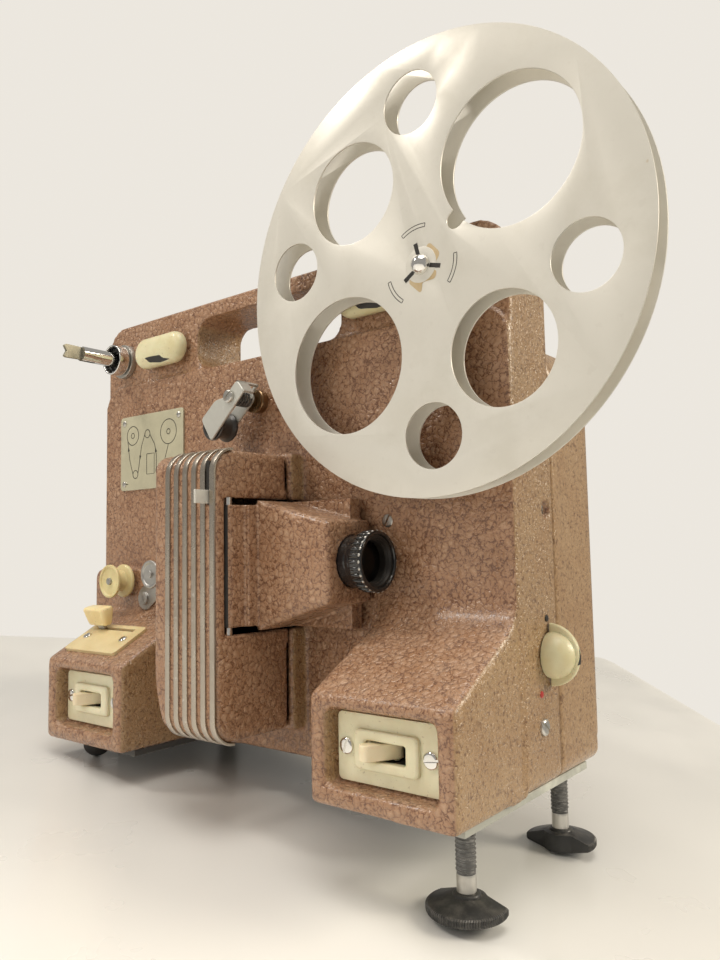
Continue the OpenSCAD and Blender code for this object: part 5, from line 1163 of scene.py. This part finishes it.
lensLook = dict(y=-13, z=86, barrel=(32.5, 75), barrelRadius=10.5, bore=8.5, ring=(67, 76), ringRadius=12.5,
                ribs=28, glassFront=68.7, glassBack=33.5, glassThick=1.2, curve=2.6)


def lensBarrel(look, at):
    r, b = look["barrelRadius"], look["bore"]
    x0, x1 = look["barrel"]
    bm = bmesh.new()
    lathe(bm, soften([(x0, b), (x0, r), (x1 - 10, r), (x1, r), (x1, 9.6), (x1 - 1.2, 9.3), (x1 - 1.2, 9.0),
                      (x1 - 2.3, 8.8), (x1 - 2.3, b)], 0.2, 2) + [(x0, b)], at)

    def inBore(p):
        return sqrt((p.y - look["y"]) ** 2 + (p.z - look["z"]) ** 2) < r - 0.2

    place("lensBarrel", twoTone(toMesh(bm), "enamel", "inkAndShade", inBore), "lens", "enamel", ["lens_barrel"])


def focusRing(look, at):
    r0, r1 = look["ring"]
    out = look["ringRadius"]
    local = Matrix.Identity(4)
    bm = bmesh.new()
    lathe(bm, soften([(r0, 10.55), (r0, 10.95), (r0 + 2.4, 11.1), (r0 + 3.0, out - 0.9),
                      (r1 - 1.6, out - 0.9), (r1 - 1.2, out - 0.2), (r1 - 0.4, out - 0.2), (r1, out - 0.9),
                      (r1, 10.9), (r1 - 0.6, 10.55)], 0.25, 2), local, 112, True)
    ring = grow(toMesh(bm), ribRing, {"Ribs": look["ribs"], "Radius": out - 0.95, "Width": 1.75,
                                      "Depth": 1.9, "Length": 6.4, "Low": r1 - 7.0,
                                      "Finish": finishes["enamel"]})
    ring.transform(at)
    place("focusRing", ring, "focus", "enamel", ["focus_ring"], 40)


def lensGlass(look, at):
    # two domed glasses, with a black disc just behind the front one as painted shade for the dark inside the
    # barrel
    b = look["bore"]
    bm = bmesh.new()
    for start in (look["glassFront"], look["glassBack"]):
        rim = start + look["glassThick"]
        dome = [(rim + look["curve"] * (1 - (k / 10) ** 2), (b - 0.05) * k / 10) for k in range(11)]
        lathe(bm, dome + [(start, b - 0.05), (start, 0)], at)
    place("lensGlass", toMesh(bm), "lens", "glass", ["lens_glass"])
    bm = bmesh.new()
    # painted shade: an opaque black disc just behind the front glass
    dark = look["glassFront"] - 1
    lathe(bm, [(dark, 0), (dark, b - 0.1), (dark - 0.4, b - 0.1), (dark - 0.4, 0)], at)
    place("lensDark", toMesh(bm), "lens", "inkAndShade")


def ringWear(look, at):
    # bare metal where the rib ends are rubbed
    out, end = look["ringRadius"], look["ring"][1]
    worn = grow(toMesh(bmesh.new()), ribRing, {"Ribs": look["ribs"], "Radius": out - 0.28, "Width": 1.3,
                                               "Depth": 0.7, "Length": 1.1, "Low": end - 1.35,
                                               "Finish": finishes["zinc"]})
    worn.transform(at)
    place("ringWear", worn, "focus", "zinc")


lensAxis = axisFrame((0, lensLook["y"], lensLook["z"]), (1, 0, 0))
lensBarrel(lensLook, lensAxis)
focusRing(lensLook, lensAxis)
lensGlass(lensLook, lensAxis)
ringWear(lensLook, lensAxis)
edged("hingePins", "hinge_pins", 0.2, "body", "chrome")
edged("aperturePlate", "aperture_plate", 0.2, "body", "satin")
edged("pressurePlate", "pressure_plate", 0.2, "pressure", "satin")
edged("framingTab", "framing_tab", 0.28, "framing", "reel", 3)
print("lens set")


# film guides

guideLook = dict(pivot=(-3, 161.5), roller=(-16.58, 149.69), radius=7.0, front=-18.0, back=-8.0, coils=5,
                 coilPitch=1.7, coilRadius=3.3, wire=0.55, postRadius=5.6, postTall=5, slope=41, sheet=1.2,
                 pin=1.75, pivotPin=2.0, neck=3.0, foldDeep=6.5,
                 strip=[(-8.2, -2.3), (3.0, -2.6), (8.0, -6.2), (20.6, -6.6), (22.6, 6.2), (-8.2, 5.0)],
                 rear=[(-3.4, -4.6), (20.6, -4.6), (20.6, 2.6), (-3.4, 2.6)],
                 fold=[(-8.2, -2.2), (-7.0, -2.2), (-7.0, 4.9), (-8.2, 4.9)])


def guideArm(look):
    # a narrow strip folded over the spring, and a shorter one behind the roller
    cad = cadForm("guide_arm")
    front, back = min(v.co.y for v in cad.verts), max(v.co.y for v in cad.verts)
    cad.free()
    turn = radians(180 + look["slope"])
    along, beside = (cos(turn), 0, sin(turn)), (-sin(turn), 0, cos(turn))
    at = framed((look["pivot"][0], back, look["pivot"][1]), along, beside)
    deep, t = back - front, look["sheet"]
    sheet = [(0.3, 0), (0, 0.3), (0, t - 0.3), (0.3, t)]
    bm = bmesh.new()
    loft(bm, soften(look["strip"], 2.0, 5, True), [(i, deep - t + h) for i, h in sheet], at)
    loft(bm, soften(look["rear"], 3.4, 6, True), sheet, at)
    loft(bm, look["fold"], [(0, deep - look["foldDeep"]), (0, deep - 0.3)], at)
    (u0, v0), (u1, _) = look["fold"][:2]
    neck = [(u0, v0), (-look["neck"], v0), (-look["neck"], v0 + t), (u0, v0 + t)]
    loft(bm, neck, [(0, 0), (0, t)], at)
    loft(bm, [(u0, v0), (u1, v0), (u1, v0 + t), (u0, v0 + t)], [(0, 0), (0, deep - 0.3)], at)
    reach = sqrt((look["roller"][0] - look["pivot"][0]) ** 2 + (look["roller"][1] - look["pivot"][1]) ** 2)
    for u, r in ((0, look["pivotPin"]), (reach, look["pin"])):
        lathe(bm, [(0.4, 0), (0.4, r), (deep - 0.4, r), (deep - 0.4, 0)],
              at @ Matrix.Translation((u, 0, 0)), 32)
    place("guideArm", toMesh(bm), "guide", "dull", ["guide_arm"])


def guidePieces(look):
    px, pz = look["pivot"]
    guideArm(look)
    bm = bmesh.new()
    at = axisFrame((px, 0, pz), (0, -1, 0))
    r = look["postRadius"]
    lathe(bm, [(0, 0)] + soften([(0, r), (3.4, r), (3.8, r - 0.5), (4.2, r), (look["postTall"], r)], 0.35, 3)
          + [(look["postTall"], 0)], at)
    place("guidePost", toMesh(bm), "body", "bronze", ["guide_post"])
    rise = look["coils"] * look["coilPitch"]
    middle = (look["front"] + look["back"]) / 2
    coil = grow(toMesh(bmesh.new()), winding, {"Turns": float(look["coils"]), "Radius": look["coilRadius"],
                                               "Rise": rise, "Wire": look["wire"], "Sides": 10,
                                               "Finish": finishes["darkSteel"]})
    coil.transform(Matrix.Translation((px, middle - rise / 2, pz)) @ Matrix.Rotation(-pi / 2, 4, "X"))
    place("guideSpring", coil, "body", "darkSteel", ["guide_spring"])


def filmRoller(name, x, z, back, front, radius, body, finish, stands, waist, lip, bore=1.85):
    # spool: two flanges and a drawn-in waist, or a plain drum with proud lips
    at = axisFrame((x, back, z), (0, -1, 0))
    w = back - front
    bm = bmesh.new()
    lathe(bm, soften([(0, bore), (0, radius - 0.2), (0.3, radius), (lip, radius), (lip + 0.5, radius - 0.5),
                      (lip + 1.4, waist + 0.2), (w / 2, waist), (w - lip - 1.4, waist + 0.2),
                      (w - lip - 0.5, radius - 0.5), (w - lip, radius), (w - 0.3, radius), (w, radius - 0.2),
                      (w, radius - 1.2), (w - 0.7, radius - 1.7), (w - 0.7, bore)], 0.3, 3) + [(0, bore)], at)
    place(name, toMesh(bm), body, finish, stands, 40)


guidePieces(guideLook)
filmRoller("guideRoller", *guideLook["roller"], guideLook["back"], guideLook["front"], guideLook["radius"],
           "guide_wheel", "darkSteel", ["guide_roller"], 5.6, 1.2)
filmRoller("ivoryRoller", -98.5, 76, -8.0, -18.0, 8.7, "ivory_wheel", "amber", ["ivory_roller"], 5.2, 1.3)
filmRoller("lowerRoller", -64.2, 79.93, -7.6, -18.0, 7.0, "lower_wheel", "satin", ["lower_roller"], 5.6, 1.2)
edged("lowerGuide", "lower_guide", 0.3, "body", "satin", 3)
print("film guides set")


# feet

footLook = dict(x=115, ys=dict(front=(-18, 1), rear=(59, -1)), drop=37, headRadius=14.5, hub=7.0, flat=4.0,
                edge=5.5, tall=9.0, dome=40, stem=3.5, threadFrom=15.5, threadTo=33.4, threadRadius=4.0,
                core=3.35, ridge=0.42, turns=11, knurls=58, ripple=0.2, flatTurn=0.2793,
                hubFrom=35, hubSweep=110)


def footHead(look, flatWay):
    # half-round moulding, sloping from the hub to a knurled rim, with a flat on one side
    bm = bmesh.new()
    r, f, turn = look["headRadius"], look["flat"], look["flatTurn"]
    outline = []
    steps = look["knurls"] * 4
    for k in range(steps + 1):
        a = pi - turn + (pi + 2 * turn) * k / steps
        ripple = look["ripple"] * cos(2 * pi * k / 4) - look["ripple"]
        outline.append(((r + ripple) * cos(a), (r + ripple) * sin(a)))
    h, e = look["hub"], look["edge"]
    bulge = [(h * cos(a), h * sin(a))
             for a in (radians(look["hubFrom"] + look["hubSweep"] * k / 12) for k in range(13))]
    bulge[0] = (bulge[0][0] + 0.5, f)
    bulge[-1] = (bulge[-1][0] - 0.5, f)
    outline += bulge

    def low(u, v):
        return look["dome"] - sqrt(look["dome"] ** 2 - u * u - v * v)

    def high(u, v):
        d = sqrt(u * u + v * v)
        return e + (look["tall"] - 0.8 - e) * max(0.0, min(1.0, (r - 1 - d) / (r - 1 - h * 0.8)))

    rings = []
    for share, level, lift in ((0.55, low, 0), (0.97, low, 0), (1.0, low, 0.5), (1.0, high, -0.5),
                               (0.965, high, 0), (0.8, high, 0), (0.62, high, 0), (0.45, high, 0)):
        inner = [(u * share, v * share) for u, v in outline]
        rings.append([bm.verts.new((u, v * flatWay, level(u, v) + lift)) for u, v in inner])
    bridge(bm, rings)
    bm.faces.new(rings[0])
    bm.faces.new(rings[-1])
    lathe(bm, [(5.0, 0)] + soften([(5.0, 5.4), (8.4, 5.0), (9.0, 4.6), (9.3, 3.6)], 0.5, 3) + [(9.3, 0)],
          Matrix.Identity(4), 48)
    return bm


def levellingFoot(name, y, flatWay, look):
    body = name + "_foot"
    at = Matrix.Translation((look["x"], y, -look["drop"]))
    head = toMesh(footHead(look, flatWay))
    head.transform(at)
    place("footHead." + name, head, body, "bakelite", ["foot_" + name], 32)
    bm = bmesh.new()
    s = look["stem"]
    lathe(bm, [(8.0, 0)] + soften([(8.0, s), (look["threadFrom"] - 0.8, s),
                                   (look["threadFrom"], look["core"]), (look["threadTo"], look["core"])],
                                  0.2, 2) + [(look["threadTo"] + 0.4, look["core"]), (60.0, look["core"]),
                                             (60.0, 0)], Matrix.Identity(4), 48)
    stem = grow(toMesh(bm), winding,
                {"Turns": float(look["turns"]), "Radius": look["threadRadius"] - look["ridge"] - 0.3,
                 "Rise": look["threadTo"] - look["threadFrom"] - 1.2, "Wire": look["ridge"], "Sides": 6,
                 "Start": (0, 0, look["threadFrom"] + 0.6), "Finish": finishes["thread"]})
    stem.materials.append(finishes["zinc"])
    for face in stem.polygons:
        if face.center.z < look["threadFrom"] - 0.3:
            face.material_index = len(stem.materials) - 1
    stem.transform(at)
    place("footStem." + name, stem, body, "thread", ["foot_" + name], 40)


for name, (y, flatWay) in footLook["ys"].items():
    levellingFoot(name, y, flatWay, footLook)

rubberLook = dict(x=-92, ys=(-28, 62), radius=7.0, top=-3.0)


def rubberFeet(look):
    bm = bmesh.new()
    r = look["radius"]
    for y in look["ys"]:
        at = axisFrame((look["x"], y, look["top"]), (0, 0, -1))
        dome = [(r * sin(a), r * cos(a)) for a in (pi / 2 * k / 14 for k in range(1, 15))]
        lathe(bm, [(0, 0), (0, r), (0.5, r), (0.9, r - 0.25)] + dome[2:], at, 56)
    place("rubberFeet", toMesh(bm), "body", "rubber", ["rubber_feet"])


rubberFeet(rubberLook)
print("feet set")


# screws and pins

screwLook = dict(radius=3.2, tall=1.4, slotWidth=0.95, slotDeep=0.85)


def screwHead(look):
    # slotted cheese head
    bm = bmesh.new()
    r, t = look["radius"], look["tall"]
    lathe(bm, [(-0.4, 0)] + soften([(-0.4, r), (t * 0.55, r), (t * 0.9, r * 0.8), (t, r * 0.4)], 0.3, 3)
          + [(t, 0)], Matrix.Identity(4), 40)
    return workObject(cutBox(toMesh(bm), (0, 0, t), (3 * r, look["slotWidth"], 2 * look["slotDeep"])))


def setScrews(name, rows, finish, head, stands=()):
    mesh = bpy.data.meshes.new("points")
    mesh.from_pydata([r[0] for r in rows], [], [])
    facing = mesh.attributes.new("facing", "FLOAT_VECTOR", "POINT")
    facing.data.foreach_set("vector", [v for row in rows for v in row[1]])
    turn = mesh.attributes.new("slotTurn", "FLOAT", "POINT")
    turn.data.foreach_set("value", [radians(row[2]) for row in rows])
    size = mesh.attributes.new("headSize", "FLOAT", "POINT")
    size.data.foreach_set("value", [row[3] for row in rows])
    place(name, grow(mesh, screwHeads, {"Head": head, "Finish": finishes[finish]}), "body", finish, stands)


head = screwHead(screwLook)
forward, rightward = (0, -1, 0), (1, 0, 0)
roofUp = (0, -sin(roofSlope), cos(roofSlope))
roofTop = onRoof(-82.5, -30)
setScrews("caseScrews", [((126.4, 26, 105), rightward, 35, 0.75), ((129, 18, 22.7), rightward, 50, 1.0),
                         ((70.8, 0.8, 102.3), forward, 62, 0.9), ((-82, -7.2, 67), forward, 20, 1.0)],
          "zinc", head, ["screws"])
plateScrews = []
for side, x in switchLook["xs"].items():
    for s, turn in zip((-1, 1), switchLook["screwTurns"][side]):
        plateScrews.append(((x + s * switchLook["screwAt"], switchLook["face"], switchLook["z"]), forward,
                            turn, 0.93))
plateScrews += [(tuple(roofTop @ Vector((s * 15, 0, 1.5))), roofUp, 30 + 50 * s, 0.66) for s in (-1, 1)]
setScrews("plateScrews", plateScrews, "chrome", head)
setScrews("guideScrew", [((-3, -20.1, 161.5), forward, 40, 0.95)], "zinc", head)
bpy.data.objects.remove(head)

diagramLook = dict(x=-86, z=145.5, face=-1.0, line=0.42, reachX=23.5, reachZ=17, radius=1.6,
                   rings=[(15, 9, 6.6), (15, 9, 1.4), (-16, 9.6, 5.2), (-16, 9.6, 1.4), (-3, 9.5, 2.2),
                          (6.5, -11, 2.0), (-13.5, -12, 2.2), (6.5, -11, 2.0, 0, -150, 12)],
                   film=[[(-3.5, -1.5), (3.0, -1.5), (3.0, -12.5), (-3.5, -12.5), (-3.5, -1.5)],
                         [(15, 2.4), (12.5, -4.5), (10.2, -9.5), (8.4, -11.4)],
                         [(4.8, -12.0), (4.9, -3), (3.4, 3.2), (-0.8, 9.0)],
                         [(-5.0, 9.9), (-8.2, 3.0), (-11.2, -11.5)],
                         [(-15.7, -12.0), (-18.6, -4), (-20.6, 7.2)],
                         [(-24, -17), (-20, -17)], [(20, -17), (24, -17)],
                         [(9.0, -6.5), (14.5, -6.5), (14.5, -8.6), (9.0, -8.6)]],
                   arrows=[(11.6, -6.8, -113), (4.3, 0.0, 104), (-9.4, -3.0, -102), (-19.8, 2.4, 100)])


def diagramPins(look):
    bm = bmesh.new()
    for sx in (-1, 1):
        for sz in (-1, 1):
            at = onPanel(look["x"] + sx * look["reachX"], look["face"], look["z"] + sz * look["reachZ"])
            r = look["radius"]
            lathe(bm, [(-0.2, 0), (-0.2, r), (0.25, r * 0.97), (0.55, r * 0.7), (0.7, r * 0.35), (0.75, 0)],
                  at, 28)
    place("diagramPins", toMesh(bm), "body", "zinc")


def circlePoints(x, y, r, start=0, end=360, steps=40):
    turns = [radians(start + (end - start) * k / steps) for k in range(steps + 1)]
    return [(x + r * cos(a), y + r * sin(a)) for a in turns]


def threadingDiagram(look):
    # a plain drawing of film going from one reel to the other
    at = onPanel(look["x"], look["face"], look["z"])
    bm = bmesh.new()
    for points in [circlePoints(*ring) for ring in look["rings"]] + look["film"]:
        ribbon(bm, points, look["line"], at, -0.1, 0.05)
    for x, y, angle in look["arrows"]:
        turn = Matrix.Rotation(radians(angle), 2)
        arrow = [Vector((x, y)) + turn @ Vector(p) for p in ((1.5, 0), (-1.1, 0.85), (-1.1, -0.85))]
        loft(bm, arrow, [(0, -0.1), (0, 0.06)], at)
    place("diagramLines", toMesh(bm), "body", "inkAndShade")


edged("diagramPlate", "diagram_plate", 0.22, "body", "plate")
diagramPins(diagramLook)
threadingDiagram(diagramLook)
print("screws, pins and diagram set")


# mains inlet at the back, and the transformer behind it

inletLook = dict(x=81, z=82, face=80.0, width=28, height=20, deep=12, recess=7)


def mainsInlet(look):
    at = framed((look["x"], look["face"], look["z"]), (-1, 0, 0), (0, 0, 1))
    bm = bmesh.new()
    outer = roundedBox(look["width"], look["height"], 2.0)
    inner = roundedBox(look["width"] - 6, look["height"] - 7, 3.0)
    d, r = look["deep"], look["recess"]
    tube(bm, outer, inner, [(0, -d), (0, -0.5), (0.12, 0), (0.75, 0), (0.95, -0.4), (1, -1.2), (1, -r)], at)
    loft(bm, inner, [(0, -r - 0.5), (0, -r + 0.4)], at)
    place("mainsInlet", toMesh(bm), "body", "bakelite", ["supply"])
    bm = bmesh.new()
    for u in (-5, 5):
        lathe(bm, [(-r, 0), (-r, 2.0), (-1.8, 2.0), (-1.1, 1.6), (-0.9, 0)],
              at @ Matrix.Translation((u, 0, 0)), 28)
    place("inletPins", toMesh(bm), "body", "brass")


mainsInlet(inletLook)

stackLook = dict(below=60, leaves=12, coreFrom=0.2, coreDeep=0.6, step=0.35, bobbin=(0.62, 0.7), round=4.0)


def transformer(look):
    # laminated core with a wound bobbin, inside the space of its solid
    bm = cadForm("supply")
    parts = [v.co.copy() for v in bm.verts if v.co.z < look["below"]]
    low, high = (Vector([pick(p[i] for p in parts) for i in range(3)]) for pick in (min, max))
    bm.free()
    bm = bmesh.new()
    middle = (low + high) / 2
    size = high - low
    at = framed((middle.x, low.y, middle.z), (1, 0, 0), (0, 0, 1))
    depth = size.y
    levels = []
    for k in range(look["leaves"] + 1):
        w = -depth * (look["coreFrom"] + look["coreDeep"] * k / look["leaves"])
        levels += [(0.0, w), (look["step"], w - depth * look["coreDeep"] / (2 * look["leaves"]))]
    loft(bm, roundedBox(size.x, size.z, 1.0), levels, at)
    wide, tall = look["bobbin"]
    loft(bm, roundedBox(size.x * wide, size.z * tall, look["round"]),
         [(1.5, -depth), (0, -depth * 0.97), (0, -depth * 0.03), (1.5, 0)], at)
    place("transformer", toMesh(bm), "body", "machine", ["supply"])


transformer(stackLook)

# the machinery inside keeps its solids and takes worked finishes

insideLook = dict(switch_bodies="bakelite", speed_rail="satin", oval_shaft_left="satin",
                  oval_shaft_right="satin", side_knob_shaft="satin", takeup_pulley="machine",
                  foot_stop_front="satin", foot_stop_rear="satin", foot_bushes="zinc", motor="darkSteel",
                  motor_rotor="machine", drive_belts="rubber", main_shaft="machine",
                  mechanism_frame="machine", shutter="enamel", lamp="glass")
for node, finish in insideLook.items():
    data = cadNodes[node].data
    data.materials.clear()
    data.materials.append(finishes[finish])
print("machinery finished")


# table, light and wall

tableLook = dict(corner=(-0.036, 0.482), left=(-0.617, -0.787), right=(0.683, -0.73), reach=3.0, thick=0.03,
                 colour=(0.90, 0.89, 0.85, 1), blotch=(0.87, 0.86, 0.815, 1))


def table(look):
    corner, left, right = (Vector(look[k]) for k in ("corner", "left", "right"))
    ends = [corner, corner + left * look["reach"], corner + left * look["reach"] + right * look["reach"],
            corner + right * look["reach"]]
    bm = bmesh.new()
    top = soften(ends, 0.03, 8, True)
    loft(bm, top, [(0.0, -look["thick"]), (0.0, -0.006), (0.002, -0.0015), (0.006, 0.0)], Matrix.Identity(4))
    mesh = toMesh(bm, "table")
    mesh.shade_smooth()
    mesh.set_sharp_from_angle(angle=radians(30))
    material, tree, into = newFinish("tableTop", Coat_Weight=0.15, Coat_Roughness=0.12)
    mottled = span(tree, noise(tree, objectPlace(tree), 9.0, 4.0), 0.3, 0.7, 0.0, 0.35)
    tree.links.new(blendColour(tree, "MIX", mottled, look["colour"], look["blotch"]), into["Base Color"])
    tree.links.new(span(tree, noise(tree, objectPlace(tree), 14.0, 4.0), 0.3, 0.7, 0.26, 0.36),
                   into["Roughness"])
    mesh.materials.append(material)
    floor = bpy.data.objects.new("table", mesh)
    scene.collection.objects.link(floor)


table(tableLook)


def softLight(name, spot, aim, size, power, colour):
    data = bpy.data.lights.new(name, "AREA")
    data.shape = "DISK"
    data.size = size
    data.energy = power
    data.color = colour
    lamp = bpy.data.objects.new(name, data)
    lamp.location = spot
    lamp.rotation_euler = (Vector(aim) - Vector(spot)).to_track_quat("-Z", "Y").to_euler()
    lamp.visible_glossy = name != "fill"
    scene.collection.objects.link(lamp)


lightLook = dict(
    key=((1.3, 0.75, 1.0), (0, 0, 0.14), 0.7, 16.5, (1.0, 0.9, 0.74)),
    ceiling=((0.15, -0.35, 1.75), (0, 0, 0.1), 1.1, 17.0, (1.0, 0.95, 0.88)),
    bulb=((-0.9, -0.75, 1.2), (0, 0, 0.1), 0.26, 6.0, (1.0, 0.94, 0.86)),
    fill=((-0.5, -1.4, 0.5), (0, 0, 0.1), 1.0, 5.3, (1.0, 0.95, 0.9)))
for name, row in lightLook.items():
    softLight(name, *row)

roomLook = dict(wall=(0.84, 0.80, 0.735, 1), mirrored=0.36, shed=0.42)


def paleRoom(look):
    # the wall shows at full brightness, while what the room sheds and mirrors is weaker
    world = bpy.data.worlds.new("paleRoom")
    world.use_nodes = True
    tree = world.node_tree
    back = tree.nodes["Background"]
    back.inputs["Color"].default_value = look["wall"]
    path = addNode(tree, "ShaderNodeLightPath").outputs
    strength = maths(tree, "MAXIMUM", path["Is Camera Ray"],
                     times(tree, path["Is Glossy Ray"], look["mirrored"]))
    tree.links.new(maths(tree, "MAXIMUM", strength, look["shed"]), back.inputs["Strength"])
    scene.world = world
    scene.view_settings.view_transform = "Standard"


paleRoom(roomLook)
print("table and light set")
